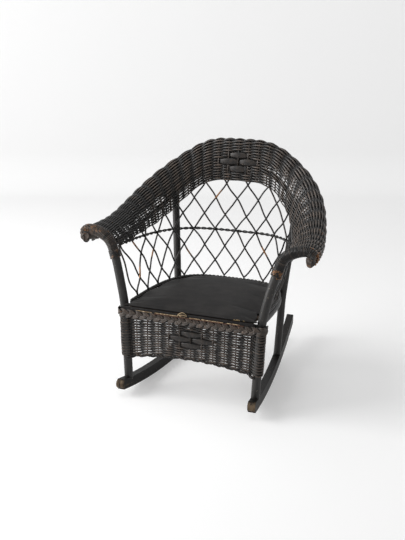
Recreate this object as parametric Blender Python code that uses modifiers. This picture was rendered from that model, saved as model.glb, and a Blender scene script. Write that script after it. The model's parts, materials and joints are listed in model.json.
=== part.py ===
"""Child's wicker rocking chair, built piece by piece: two rockers, four posts, a bent seat frame with
a padded seat, a diamond lattice of reeds, a wide woven roll round arms and back, and a woven skirt.
Millimetres in the sizes below, metres in the model; the chair faces -Y and stands on z = 0."""
import math

import bpy
import bmesh
from mathutils import Matrix, Vector

MM = 0.001
GAP = 0.3                    # clearance left between pieces that touch
LOOSE = 0.5                  # clearance where a reed or rail ends at a post or at the roll

# Front posts, measured at the rocker and at the seat
POST_R = 11.0
POST_FOOT_X = 171.0
POST_SEAT_X = 180.0
POST_SEAT_Y = 8.0
POST_TIP_R = 7.0
WRAP_T = 2.5                 # thickness of a reed wrapping
WRAP_DROP = 14.0             # how far below the roll the wrapping of an arm front starts
TAPER_DROP = 30.0            # and where the post starts to taper
NECK_IN = 1.0                # where the post bends out into the arm, inside and under the roll
NECK_DROP = 8.0
BOW_X = 3.0                  # how far the post bows in between seat and arm
BOW_Y = 1.5

# Rear posts
REAR_R = 10.0
REAR_LEAN_X = 0.06           # lean below the seat, outward and back, per millimetre of height
REAR_LEAN_Y = 0.0
REAR_AT = 0.37               # place along half of the seat outline, 0 at the back centre
REAR_CLEAR = 1.0             # between a rear post and the hoop that it is tied to

# Rockers
ROCKER_W = 20.0
ROCKER_H = 27.0
ROCKER_R = 1150.0            # radius of the running edge
ROCKER_CONTACT_Y = 178.0
ROCKER_TOE_Y = -40.0
ROCKER_TAIL_Y = 500.0
TOE_BACK = 8.0               # the toe is rounded from this far behind its line
TOE_REACH = 14.0
TENON_R = 6.0
TENON_LEN = 16.0
NOTCH = 3.0                  # depth of the flat that a post's shoulder stands on
SHOULDER = 0.05              # how far a shoulder slopes from tenon to post

# Seat
SEAT_HALF = 172.0
SEAT_BACK_Y = 328.0
SEAT_POWER = 3.8             # how square the seat outline's rear corners are
SEAT_DROP = 15.0             # how much lower the seat is at the back than at the posts
RAIL_R = 8.0
RAIL_Z = 223.0
BOARD_T = 4.0
BORDER_R = 5.0
PAD_EDGE = 4.5               # pad height at its edge, over the board
PAD_CROWN = 9.0
PAD_FRONT_Y = -13.0
COVER_T = 1.3
PAD_CLEAR = 4.0              # between the pad and a front post
SLAT_W = 30.0
SLAT_T = 9.0

# Lattice
REED = 3.6
ROW_H = 43.5                 # height from one row of crossings to the next
DIAMONDS_HALF = 7
TWINE_ROW = 3

# Woven roll: weavers that pass over one stake and under the next
STAKES_HALF = 16             # stakes from the back centre to the front of an arm
SPLIT_STAKE = 8              # the stake where arm and back meet
ROLL_ROWS = 44               # weavers from the lower edge to the braid
ROLL_CREST = 5.0             # how far a weaver over a stake stands off the middle of the weave
ROLL_WEB = 0.8               # and the low places between two such weavers
TOP_CLEAR = 3.6              # from the lattice up to the roll
ROLL_HALF = 214.0
ROLL_BACK_Y = 353.0
ROLL_POWER = 3.2
ROLL_FRONT_Y = 38.0
ARM_LOW_Z = 370.0
BACK_LOW_Z = 500.0
ROLL_OUT_BACK = 18.0
ROLL_OUT_ARM = 66.0
ROLL_OUT_CORNER = 10.0       # the extra flare at the rear corners
ROLL_RISE_BACK = 106.0
ROLL_RISE_TIP = 46.0
CURL_R = 19.0
CURL_DEG = 135.0
HOOP_R = 6.0
EDGE_R = 5.0

# Skirt
SKIRT_T = 5.0
SKIRT_SIDE_Z = 97.0
SKIRT_ARCH = 17.0
SKIRT_DROP = 3.0             # from the front rail to the weave, and from the weave to the lowest turn
SKIRT_BRAID_H = 24.0
SKIRT_BRAID_T = 9.0
PLAIT_DEEP = 3.5             # from the crests of the braid's strands to its low places
SKIRT_EDGE_R = 4.5
TURNS_CLEAR = 4.0            # from the turns round a post up to the braid
SPLINT_W = 58.0
SPLINT_H = 12.0
SPLINT_T = 1.2
SPLINT_STEP_Z = 15.0

BLACK_WOOD = (0.030, 0.029, 0.028, 1.0)
BLACK_REED = (0.035, 0.031, 0.027, 1.0)
OILCLOTH = (0.045, 0.045, 0.047, 1.0)
BARE_WOOD = (0.33, 0.22, 0.13, 1.0)
TOW = (0.48, 0.38, 0.24, 1.0)

SIDES = (("left", -1), ("right", 1))


def clear_scene():
    """Removes what a new scene holds, and makes the two collections and the empty that carries the chair."""
    for item in list(bpy.data.objects):
        bpy.data.objects.remove(item, do_unlink=True)
    for name in ("childs_rocking_chair", "cutters"):
        bpy.context.scene.collection.children.link(bpy.data.collections.new(name))
    bpy.data.collections["childs_rocking_chair"].objects.link(bpy.data.objects.new("chair", None))


def place(name, mesh, colour):
    """Makes one painted piece of a mesh and hangs it on the chair's empty."""
    mesh.shade_smooth()
    mesh.set_sharp_from_angle(angle=math.radians(40))
    paint = bpy.data.materials.new(name)
    paint.use_nodes = True
    shader = paint.node_tree.nodes["Principled BSDF"]
    shader.inputs["Base Color"].default_value = colour
    shader.inputs["Roughness"].default_value = 0.6
    shader.inputs["Metallic"].default_value = 0.0
    mesh.materials.clear()
    mesh.materials.append(paint)
    piece = bpy.data.objects.new(name, mesh)
    piece.parent = bpy.data.objects["chair"]
    bpy.data.collections["childs_rocking_chair"].objects.link(piece)
    return piece


def helper(data):
    """An object that only helps to make a piece: an outline, a bent rod or a cutter."""
    item = bpy.data.objects.new("helper", data)
    item.hide_render = True
    item.display_type = "WIRE"
    bpy.data.collections["cutters"].objects.link(item)
    return item


def turn_out(mesh):
    """Welds a mesh's seams and turns its faces outward."""
    work = bmesh.new()
    work.from_mesh(mesh)
    bmesh.ops.remove_doubles(work, verts=work.verts, dist=0.001 * MM)
    bmesh.ops.recalc_face_normals(work, faces=work.faces)
    work.to_mesh(mesh)
    work.free()
    return mesh


def freeze(item):
    """The mesh that an object's curve or modifiers make; the object is removed."""
    graph = bpy.context.evaluated_depsgraph_get()
    mesh = bpy.data.meshes.new_from_object(item.evaluated_get(graph))
    bpy.data.objects.remove(item, do_unlink=True)
    return turn_out(mesh)


def add_piece(name, verts, faces, colour):
    """Makes one piece from millimetre vertices and the faces between them."""
    mesh = bpy.data.meshes.new(name)
    mesh.from_pydata([tuple(c * MM for c in v) for v in verts], [], faces)
    return place(name, turn_out(mesh), colour)


def bent_rod(points, radii, sides, capped=True):
    """A mesh of a round rod along a path, with one radius or one for each point: a bevelled curve."""
    line = bpy.data.curves.new("rod", "CURVE")
    line.dimensions = "3D"
    line.bevel_depth = MM
    line.bevel_resolution = (sides - 4) // 2
    line.use_fill_caps = capped
    spline = line.splines.new("POLY")
    spline.points.add(len(points) - 1)
    if not isinstance(radii, list):
        radii = [radii] * len(points)
    for spot, p, r in zip(spline.points, points, radii):
        spot.co = (p[0] * MM, p[1] * MM, p[2] * MM, 1.0)
        spot.radius = r
    return freeze(helper(line))


def plate(outline, thick):
    """A mesh of a flat plate: a filled outline in X and Y, extruded half its thickness up and down."""
    line = bpy.data.curves.new("outline", "CURVE")
    line.dimensions = "2D"
    line.fill_mode = "BOTH"
    line.extrude = thick / 2 * MM
    spline = line.splines.new("POLY")
    spline.points.add(len(outline) - 1)
    for spot, p in zip(spline.points, outline):
        spot.co = (p[0] * MM, p[1] * MM, 0.0, 1.0)
    spline.use_cyclic_u = True
    return freeze(helper(line))


def thicken(mesh, thick, offset):
    """Gives an open surface a wall: outside it for an offset of 1, half to each side for 0."""
    item = helper(mesh)
    wall = item.modifiers.new("wall", "SOLIDIFY")
    wall.thickness = thick * MM
    wall.offset = offset
    wall.use_even_offset = True
    return freeze(item)


def sleeve(points, radii, sides):
    """A mesh of the reed wrapped round a rod with these radii, clear of the rod's own facets."""
    inner = [(r + GAP) / math.cos(math.pi / sides) for r in radii]
    return thicken(bent_rod(points, inner, sides, False), WRAP_T, 1.0)


def sheet(spot, cols, rows, thick):
    """A mesh of a thin strip: a grid whose points come from spot(u, v), both from -1 to 1, with a wall."""
    work = bmesh.new()
    bmesh.ops.create_grid(work, x_segments=cols, y_segments=rows, size=1.0)
    for v in work.verts:
        v.co = spot(v.co.x, v.co.y) * MM
    mesh = bpy.data.meshes.new("sheet")
    work.to_mesh(mesh)
    work.free()
    return thicken(mesh, thick, 0.0)


def cut(piece, cutters):
    """Takes the cutters' meshes out of a piece and leaves a plain mesh."""
    items = [helper(mesh) for mesh in cutters]
    for item in items:
        step = piece.modifiers.new("cut", "BOOLEAN")
        step.operation = "DIFFERENCE"
        step.solver = "EXACT"
        step.object = item
    graph = bpy.context.evaluated_depsgraph_get()
    mesh = bpy.data.meshes.new_from_object(piece.evaluated_get(graph))
    piece.modifiers.clear()
    piece.data = mesh
    for item in items:
        bpy.data.objects.remove(item, do_unlink=True)


def smooth(points, steps):
    """Points along a Catmull-Rom curve through the given points."""
    pts = [Vector(p) for p in points]
    pts = [pts[0] * 2 - pts[1]] + pts + [pts[-1] * 2 - pts[-2]]
    out = []
    for i in range(1, len(pts) - 2):
        a, b, c, d = pts[i - 1:i + 3]
        for k in range(steps):
            t = k / steps
            out.append(0.5 * (2 * b + (c - a) * t + (2 * a - 5 * b + 4 * c - d) * t * t
                              + (3 * b - a - 3 * c + d) * t ** 3))
    return out + [pts[-2]]


def quads(first, second, count):
    """Faces between two rings that start at these vertex numbers."""
    return [(first + k, first + (k + 1) % count, second + (k + 1) % count, second + k)
            for k in range(count)]


def slab(grid_a, grid_b):
    """A closed sheet between two grids of points of the same size."""
    rows, cols = len(grid_a), len(grid_a[0])
    verts = [p for grid in (grid_a, grid_b) for line in grid for p in line]
    half = rows * cols

    def at(i, j, layer):
        return layer * half + i * cols + j
    faces = []
    for i in range(rows - 1):
        for j in range(cols - 1):
            for layer in (0, 1):
                faces.append((at(i, j, layer), at(i, j + 1, layer),
                              at(i + 1, j + 1, layer), at(i + 1, j, layer)))
    for i in range(rows - 1):
        for j in (0, cols - 1):
            faces.append((at(i, j, 0), at(i + 1, j, 0), at(i + 1, j, 1), at(i, j, 1)))
    for j in range(cols - 1):
        for i in (0, rows - 1):
            faces.append((at(i, j, 0), at(i, j + 1, 0), at(i, j + 1, 1), at(i, j, 1)))
    return verts, faces


class Outline:
    """Half of a U in plan, from the back centre to the front, with points by part of its length."""

    def __init__(self, half, back_y, power, front_y):
        fine = 400
        pts = []
        for k in range(fine + 1):
            a = math.pi / 2 * k / fine
            pts.append((half * math.sin(a) ** (2 / power), back_y * math.cos(a) ** (2 / power)))
        self.pts = [p for p in pts if p[1] >= front_y]
        self.run = [0.0]
        for p, q in zip(self.pts, self.pts[1:]):
            self.run.append(self.run[-1] + math.dist(p, q))

    @property
    def length(self):
        """Length of the half outline."""
        return self.run[-1]

    def at(self, f):
        """Plan point at f, from -1 on the left front round to 1 on the right front."""
        want = min(abs(f), 1.0) * self.length
        low, high = 0, len(self.run) - 1
        while high - low > 1:
            mid = (low + high) // 2
            if self.run[mid] <= want:
                low = mid
            else:
                high = mid
        t = (want - self.run[low]) / (self.run[high] - self.run[low])
        p, q = self.pts[low], self.pts[high]
        x, y = p[0] + (q[0] - p[0]) * t, p[1] + (q[1] - p[1]) * t
        return Vector((math.copysign(x, f), y, 0.0))

    def normal(self, f):
        """Outward direction in plan at f."""
        step = 0.004
        a, b = self.at(max(f - step, -1.0)), self.at(min(f + step, 1.0))
        along = (b - a).normalized()
        return Vector((-along.y, along.x, 0.0))

    def f_at_y(self, y):
        """The right-hand f where the outline reaches this y on its side."""
        for p, run in zip(reversed(self.pts), reversed(self.run)):
            if p[1] >= y:
                return run / self.length
        return 0.0


RAIL_START_Y = POST_SEAT_Y + POST_R + LOOSE
BORDER_Z = RAIL_Z + RAIL_R + GAP + BORDER_R
BOARD_Z = RAIL_Z + RAIL_R + GAP
LATTICE_Z = BORDER_Z + BORDER_R + GAP
SCROLL_Y = ROLL_FRONT_Y - POST_R - WRAP_T - 4 * GAP

SEAT = Outline(SEAT_HALF, SEAT_BACK_Y, SEAT_POWER, RAIL_START_Y)
LOW = Outline(ROLL_HALF, ROLL_BACK_Y, ROLL_POWER, ROLL_FRONT_Y)


def low_point(f):
    """Lower edge of the woven roll at f."""
    p = LOW.at(f)
    p.z = ARM_LOW_Z + (BACK_LOW_Z - ARM_LOW_Z) / (1 + (abs(f) / 0.37) ** 4)
    return p


def ease(t):
    """Goes smoothly from 0 to 1."""
    t = min(max(t, 0.0), 1.0)
    return t * t * (3 - 2 * t)


def roll_section(f, v):
    """How far out and up from the roll's lower edge the weave is at v, from 0 at that edge to 1."""
    side = abs(f)
    out = ROLL_OUT_BACK + (ROLL_OUT_ARM - ROLL_OUT_BACK) * ease(side)
    out += ROLL_OUT_CORNER * math.exp(-((side - 0.45) / 0.2) ** 2)
    rise = ROLL_RISE_BACK + (ROLL_RISE_TIP - ROLL_RISE_BACK) * ease((side - 0.35) / 0.5)
    turn = 0.70
    if v <= turn:
        t = v / turn
        c = ((0.0, 0.0), (0.06 * out, 0.50 * rise), (0.50 * out, rise), (out, rise))
        w = ((1 - t) ** 3, 3 * t * (1 - t) ** 2, 3 * t * t * (1 - t), t ** 3)
        return sum(k * p[0] for k, p in zip(w, c)), sum(k * p[1] for k, p in zip(w, c))
    a = math.radians(CURL_DEG) * (v - turn) / (1 - turn)
    return out + CURL_R * math.sin(a), rise - CURL_R * (1 - math.cos(a))


def roll_point(f, v, lift=0.0):
    """A point of the roll's middle surface, or lift millimetres outside it."""
    def plain(ff, vv):
        out, up = roll_section(ff, vv)
        return low_point(ff) + LOW.normal(ff) * out + Vector((0, 0, up))
    p = plain(f, v)
    if not lift:
        return p
    step = 0.01
    along = plain(min(f + step, 1.0), v) - plain(max(f - step, -1.0), v)
    across = plain(f, min(v + step, 1.0)) - plain(f, max(v - step, 0.0))
    return p + across.cross(along).normalized() * lift


def lattice_point(f, z, lift=0.0):
    """A point of the lattice at f and this height, or lift millimetres outside it."""
    def plain(ff, zz):
        low = low_point(ff)
        t = (zz - base_z(ff)) / (low.z - base_z(ff))
        p = SEAT.at(ff).lerp(LOW.at(ff), t)
        p.z = zz
        return p
    p = plain(f, z)
    if not lift:
        return p
    step = 0.005
    along = plain(min(f + step, 1.0), z) - plain(max(f - step, -1.0), z)
    up = plain(f, z + 1) - plain(f, z - 1)
    return p + up.cross(along).normalized() * lift


def seat_drop(y):
    """How far the sloping seat has come down at y."""
    return SEAT_DROP * (y - POST_SEAT_Y) / (SEAT_BACK_Y - POST_SEAT_Y)


def base_z(f):
    """Height of the lattice's lower end at f, on top of the seat border."""
    return LATTICE_Z - seat_drop(SEAT.at(f).y)


def sloped(points):
    """Points brought down onto the sloping seat."""
    return [Vector((p[0], p[1], p[2] - seat_drop(p[1]))) for p in points]


def seat_slope(z):
    """The transform that brings a level piece to this height and down onto the sloping seat."""
    fall = seat_drop(POST_SEAT_Y + 1.0)
    return Matrix(((1, 0, 0, 0), (0, 1, 0, 0), (0, -fall, 1, (z + fall * POST_SEAT_Y) * MM), (0, 0, 0, 1)))


def rocker_z(y):
    """Height of a rocker's running edge at y."""
    return (y - ROCKER_CONTACT_Y) ** 2 / (2 * ROCKER_R)


def rear_axis():
    """Axis of the right rear post: foot, seat and top points."""
    reach = RAIL_R + REAR_R + GAP
    seat = SEAT.at(REAR_AT) + SEAT.normal(REAR_AT) * reach
    seat.z = RAIL_Z - seat_drop(seat.y)
    drop = seat.z - ROCKER_H
    foot = Vector((seat.x - REAR_LEAN_X * drop, seat.y - REAR_LEAN_Y * drop, 0.0))
    top = hoop_point(REAR_AT) + LOW.normal(REAR_AT) * (HOOP_R + REAR_R + REAR_CLEAR)
    foot.z = rocker_z(foot.y) + ROCKER_H - NOTCH
    return foot, seat, top


def front_axis():
    """Axis points of the right front post from its shoulder up to the end of the arm scroll."""
    foot = Vector((POST_FOOT_X, 0.0, rocker_z(0.0) + ROCKER_H - NOTCH))
    seat = Vector((POST_SEAT_X, POST_SEAT_Y, RAIL_Z))
    low = low_point(1.0)
    neck = Vector((low.x - NECK_IN, SCROLL_Y, low.z - NECK_DROP))
    scroll = []
    for v in (0.24, 0.42, 0.60, 0.74, 0.84):
        out, up = roll_section(1.0, v)
        scroll.append(Vector((low.x + out, SCROLL_Y, low.z + up)))
    mid = seat.lerp(neck, 0.5) + Vector((-BOW_X, -BOW_Y, 0.0))
    return foot, smooth([foot, foot.lerp(seat, 0.5), seat, mid, neck] + scroll, 3)


def hoop_point(f):
    """Centre of the bent hoop that runs round inside the roll."""
    return roll_point(f, 0.14, ROLL_CREST + HOOP_R + 4 * GAP)


def mirrored(points, sign):
    """Points on the left when sign is -1."""
    return [Vector((p.x * sign, p.y, p.z)) for p in points]


def make_rocker(name, sign):
    """A sawn rocker with a worn round toe, notched and drilled for its two posts."""
    foot_r, foot_f = rear_axis()[0], front_axis()[0]
    slope = (foot_r.x - foot_f.x) / (foot_r.y - foot_f.y)
    steps = 26
    ys = [ROCKER_TOE_Y + (ROCKER_TAIL_Y - ROCKER_TOE_Y) * k / steps for k in range(steps + 1)]
    side = [(y, rocker_z(y)) for y in ys]
    side += [(y, rocker_z(y) + ROCKER_H) for y in reversed(ys[1:])]
    toe_z = rocker_z(ROCKER_TOE_Y)
    for k in range(1, 6):
        a = math.pi * (0.5 - 1.0 * k / 6)
        side.append((ROCKER_TOE_Y + TOE_BACK - TOE_REACH * math.cos(a),
                     toe_z + ROCKER_H / 2 + ROCKER_H * 0.49 * math.sin(a)))
    mesh = plate(side, ROCKER_W)
    mesh.transform(Matrix(((sign * slope, 0, sign, sign * foot_f.x * MM), (1, 0, 0, 0), (0, 1, 0, 0),
                           (0, 0, 0, 1))))
    piece = place(name, turn_out(mesh), BLACK_WOOD)
    cutters = []
    for axis, radius in ((front_axis()[1], POST_R), (list(rear_axis()), REAR_R)):
        foot = axis[0]
        lean = (axis[1] - axis[0]).normalized()
        path = [foot - lean * (TENON_LEN + GAP), foot - lean * (GAP + SHOULDER), foot - lean * GAP,
                foot + lean * ROCKER_H]
        radii = [TENON_R + GAP, TENON_R + GAP, radius + GAP, radius + GAP]
        cutters.append(bent_rod(mirrored(path, sign), radii, 20))
    cut(piece, cutters)


def make_post(name, sign, axis, radii, sides):
    """A round post with a tenon at its foot."""
    lean = (axis[1] - axis[0]).normalized()
    path = [axis[0] - lean * TENON_LEN, axis[0] - lean * SHOULDER] + axis
    sizes = [TENON_R, TENON_R] + radii
    place(name, bent_rod(mirrored(path, sign), sizes, sides), BLACK_WOOD)


def front_radii(path):
    """Post radius along its axis: full up to the arm, then tapering to the tip of the scroll."""
    start = low_point(1.0).z - TAPER_DROP
    ends = [max(0.0, k - next(i for i, p in enumerate(path) if p.z > start)) for k in range(len(path))]
    return [POST_R + (POST_TIP_R - POST_R) * e / ends[-1] for e in ends]


def make_posts():
    """The four posts and the reed wrappings of the arm fronts."""
    foot, path = front_axis()
    radii = front_radii(path)
    wrap_from = next(i for i, p in enumerate(path) if p.z > low_point(1.0).z - WRAP_DROP)
    rear = list(rear_axis())
    bend = smooth([rear[0], rear[0].lerp(rear[1], 0.55), rear[1], rear[1].lerp(rear[2], 0.5), rear[2]], 3)
    for side, sign in SIDES:
        make_post("front_post_" + side, sign, path, radii, 14)
        make_post("rear_post_" + side, sign, bend, [REAR_R] * len(bend), 12)
        part, sizes = path[wrap_from:-1], radii[wrap_from:-1]
        place("arm_wrap_" + side, sleeve(mirrored(part, sign), sizes, 14), BLACK_REED)


def u_path(outline, f_end, count, z):
    """Points round a U outline at one height."""
    pts = []
    for k in range(count + 1):
        p = outline.at(f_end * (2 * k / count - 1))
        p.z = z
        pts.append(p)
    return sloped(pts)


def make_seat_frame():
    """The front rail, the bent U rail, two slats and the board that carries the pad."""
    reach = post_at(RAIL_Z - RAIL_R).x - POST_R - 2 * GAP
    height = RAIL_Z - seat_drop(POST_SEAT_Y + RAIL_R)
    place("seat_front_rail", bent_rod([(x * reach, POST_SEAT_Y, height) for x in (-1, 0, 1)], RAIL_R, 12),
          BLACK_WOOD)
    place("seat_bent_rail", bent_rod(u_path(SEAT, 1.0, 44, RAIL_Z), RAIL_R, 10), BLACK_WOOD)
    top = RAIL_Z + RAIL_R
    for k, share in enumerate((0.35, 0.66)):
        y = SEAT_BACK_Y * share
        edge = min(SEAT.at(SEAT.f_at_y(y + d * SLAT_W / 2)).x for d in (-1, 1))
        half = edge - RAIL_R - GAP
        work = bmesh.new()
        bmesh.ops.create_cube(work, size=1.0, matrix=seat_slope(top - SLAT_T / 2)
                              @ Matrix.Translation((0.0, y * MM, 0.0))
                              @ Matrix.Diagonal((2 * half * MM, SLAT_W * MM, SLAT_T * MM, 1.0)))
        mesh = bpy.data.meshes.new("slat")
        work.to_mesh(mesh)
        work.free()
        place("seat_slat_%d" % (k + 1), mesh, BARE_WOOD)
    board = plate(pad_rim(0.0), BOARD_T)
    board.transform(seat_slope(BOARD_Z + BOARD_T / 2))
    place("seat_board", board, BARE_WOOD)


def pad_rim(grow):
    """Plan outline of the seat pad, or one grown outward by this much."""
    inset = BORDER_R + COVER_T + 2 * GAP
    half, back = SEAT_HALF - inset + grow, SEAT_BACK_Y - inset + grow
    narrow = min(POST_SEAT_X - POST_R - COVER_T - PAD_CLEAR, SEAT_HALF - inset) + grow
    front = PAD_FRONT_Y + COVER_T - grow
    pts = []
    steps = 26
    for k in range(steps + 1):
        a = math.pi * (k / steps - 0.5)
        x = math.copysign(abs(math.sin(a)) ** (2 / SEAT_POWER), a) * half
        y = abs(math.cos(a)) ** (2 / SEAT_POWER) * back
        if y > POST_SEAT_Y + POST_R + 3 * PAD_CLEAR:
            pts.append(Vector((x, y, 0.0)))
    corner = []
    for y, share in ((POST_SEAT_Y + POST_R, 0.995), (0.0, 0.985), (front + PAD_CLEAR, 0.98), (front, 0.955)):
        corner.append(Vector((narrow * share, y, 0.0)))
    front_line = [Vector((narrow * x, front, 0.0)) for x in (0.64, 0.32, 0.0, -0.32, -0.64)]
    pts += corner + front_line + mirrored(list(reversed(corner)), -1)
    return pts


def pad_layers(grow, foot):
    """Rings of the pad's upper surface from its foot to its crown, grown by this much."""
    centre = Vector((0.0, SEAT_BACK_Y * 0.46, 0.0))
    base = BOARD_Z + BOARD_T + GAP
    rim = pad_rim(grow)
    layers = [[Vector((p.x, p.y, foot)) for p in (centre.lerp(q, 0.992) for q in rim)]]
    for share, height in ((1.0, 0.55), (0.992, 0.9), (0.965, 1.0)):
        layers.append([Vector((p.x, p.y, base + grow + PAD_EDGE * height))
                       for p in (centre.lerp(q, share) for q in rim)])
    for share in (0.90, 0.78, 0.60, 0.40, 0.20):
        z = base + grow + PAD_EDGE + PAD_CROWN * (1 - share ** 2.4)
        layers.append([Vector((p.x, p.y, z)) for p in (centre.lerp(q, share) for q in rim)])
    crown = Vector((centre.x, centre.y, base + grow + PAD_EDGE + PAD_CROWN))
    return layers, crown


def dome(layers, crown, base):
    """Vertices and faces of stacked rings closed by one crown vertex."""
    n = len(layers[0])
    verts = sloped([p for line in layers for p in line] + [crown])
    faces = []
    for i in range(len(layers) - 1):
        faces += quads(base + i * n, base + (i + 1) * n, n)
    last = base + (len(layers) - 1) * n
    faces += [(last + k, last + (k + 1) % n, base + len(layers) * n) for k in range(n)]
    return verts, faces


def make_pad():
    """The stuffing and the oilcloth drawn over it, crowned in the middle with drawn-in sides."""
    foot = BOARD_Z + BOARD_T + GAP
    verts, faces = dome(*pad_layers(-GAP, foot), 0)
    n = len(pad_layers(0.0, foot)[0][0])
    add_piece("seat_stuffing", verts, faces + [tuple(range(n))], TOW)
    inner, inner_faces = dome(*pad_layers(0.0, foot), 0)
    outer, outer_faces = dome(*pad_layers(COVER_T, foot), len(inner))
    add_piece("seat_cover", inner + outer, inner_faces + outer_faces + quads(0, len(inner), n), OILCLOTH)


def make_border():
    """The twisted reed border round the sides and back of the seat."""
    f_end = SEAT.f_at_y(POST_SEAT_Y + POST_R + BORDER_R + 2)
    place("seat_border", bent_rod(u_path(SEAT, f_end, 44, BORDER_Z), BORDER_R, 8), BLACK_REED)


def split_f():
    """Where the lattice and the roll part between arm and back: half way along a reed."""
    column = 1.0 / (DIAMONDS_HALF + 0.25)
    return column * (round(0.60 / column) - 0.25)


def net(f_from, f_to):
    """One closed net of crossing reeds between two places round the U."""
    column = 1.0 / (DIAMONDS_HALF + 0.25)
    length = (SEAT.length + LOW.length) / 2
    dx, dz = column * length / 2, ROW_H
    slant = math.hypot(dx, dz)
    wide, tall = REED / 2 * slant / dz / length, REED / 2 * slant / dx

    def inside(f, z):
        return f_from < f < f_to and z < low_point(f).z - TOP_CLEAR

    def spot(c, r):
        f = column * (c + (0.0 if r % 2 else 0.5))
        return f, base_z(f) + tall + GAP + ROW_H * r
    rows = int((BACK_LOW_Z - base_z(0.0)) / ROW_H) + 2
    nodes = {}
    for r in range(rows):
        for c in range(-DIAMONDS_HALF - 2, DIAMONDS_HALF + 2):
            f, z = spot(c, r)
            margin = wide * 1.5
            if inside(f - margin, z + tall) and inside(f + margin, z + tall):
                nodes[(c, r)] = (f, z)

    def ends(c, r):
        near = c + (0 if r % 2 else 1)
        return {(1, 1): (near, r + 1), (-1, 1): (near - 1, r + 1),
                (1, -1): (near, r - 1), (-1, -1): (near - 1, r - 1)}
    group, todo = set(), [min(nodes, key=lambda k: abs(nodes[k][0] - (f_from + f_to) / 2) + k[1])]
    while todo:
        key = todo.pop()
        if key not in group:
            group.add(key)
            todo += [k for k in ends(*key).values() if k in nodes]
    flat, shapes, index = [], [], {}

    def corners(f, z):
        return {"t": (f, z + tall), "r": (f + wide, z), "b": (f, z - tall), "l": (f - wide, z)}
    sides = {(1, 1): ("t", "r"), (-1, 1): ("l", "t"), (1, -1): ("r", "b"), (-1, -1): ("b", "l")}
    for key in sorted(group):
        for name, p in corners(*nodes[key]).items():
            index[key + (name,)] = len(flat)
            flat.append(p)
        shapes.append(tuple(index[key + (n,)] for n in "trbl"))
    for key in sorted(group):
        for way, other in ends(*key).items():
            a, b = sides[way]
            far_a, far_b = sides[(-way[0], -way[1])]
            if other in group:
                if way[1] > 0:
                    shapes.append((index[key + (a,)], index[other + (far_b,)],
                                   index[other + (far_a,)], index[key + (b,)]))
                continue
            if other[1] < 0:
                continue
            here, there = corners(*nodes[key]), corners(*spot(*other))
            good = 0.0
            for k in range(1, 55):
                t = k / 60
                f = nodes[key][0] + (spot(*other)[0] - nodes[key][0]) * t
                z = nodes[key][1] + (spot(*other)[1] - nodes[key][1]) * t
                if not (inside(f - wide, z) and inside(f + wide, z)):
                    break
                good = t
            if good < 0.12:
                continue
            tip = []
            for mine, his in ((a, far_b), (b, far_a)):
                p, q = here[mine], there[his]
                tip.append(len(flat))
                flat.append((p[0] + (q[0] - p[0]) * good, p[1] + (q[1] - p[1]) * good))
            shapes.append((index[key + (a,)], tip[0], tip[1], index[key + (b,)]))
    verts = [lattice_point(f, z, side * REED / 2) for side in (-1, 1) for f, z in flat]
    n = len(flat)
    faces = list(shapes) + [tuple(n + i for i in s) for s in shapes]
    used = {}
    for s in shapes:
        for i, j in zip(s, s[1:] + s[:1]):
            used[frozenset((i, j))] = used.get(frozenset((i, j)), 0) + 1
    for s in shapes:
        for i, j in zip(s, s[1:] + s[:1]):
            if used[frozenset((i, j))] == 1:
                faces.append((i, j, n + j, n + i))
    return verts, faces


def make_lattice():
    """The diamond lattice in three nets, and the two reeds twined along its middle row."""
    cut_f = split_f()
    end = 0.975
    add_piece("lattice_left", *net(-end, -cut_f - 0.0004), BLACK_REED)
    add_piece("lattice_back", *net(-cut_f + 0.0004, cut_f - 0.0004), BLACK_REED)
    add_piece("lattice_right", *net(cut_f + 0.0004, end), BLACK_REED)
    rise = ROW_H * TWINE_ROW + REED
    f_end = next(k / 200 for k in range(200, 0, -1)
                 if low_point(k / 200).z > base_z(k / 200) + rise + 2 * TOP_CLEAR + REED)
    for name, side in (("inner", -1), ("outer", 1)):
        places = [f_end * (k / 17 - 1) for k in range(35)]
        pts = [lattice_point(f, base_z(f) + rise, side * (REED + 2 * GAP)) for f in places]
        place("twined_reed_" + name, bent_rod(pts, REED / 2, 6), BLACK_REED)


def row_places(f):
    """The v of every weaver at f, evenly spaced from the roll's lower edge to its braid."""
    fine = 60
    pts = [roll_section(f, k / fine) for k in range(fine + 1)]
    run = [0.0]
    for p, q in zip(pts, pts[1:]):
        run.append(run[-1] + math.dist(p, q))
    places, k = [], 0
    for j in range(ROLL_ROWS):
        want = run[-1] * j / (ROLL_ROWS - 1)
        while k < fine - 1 and run[k + 1] < want:
            k += 1
        places.append((k + (want - run[k]) / (run[k + 1] - run[k])) / fine)
    return places


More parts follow.
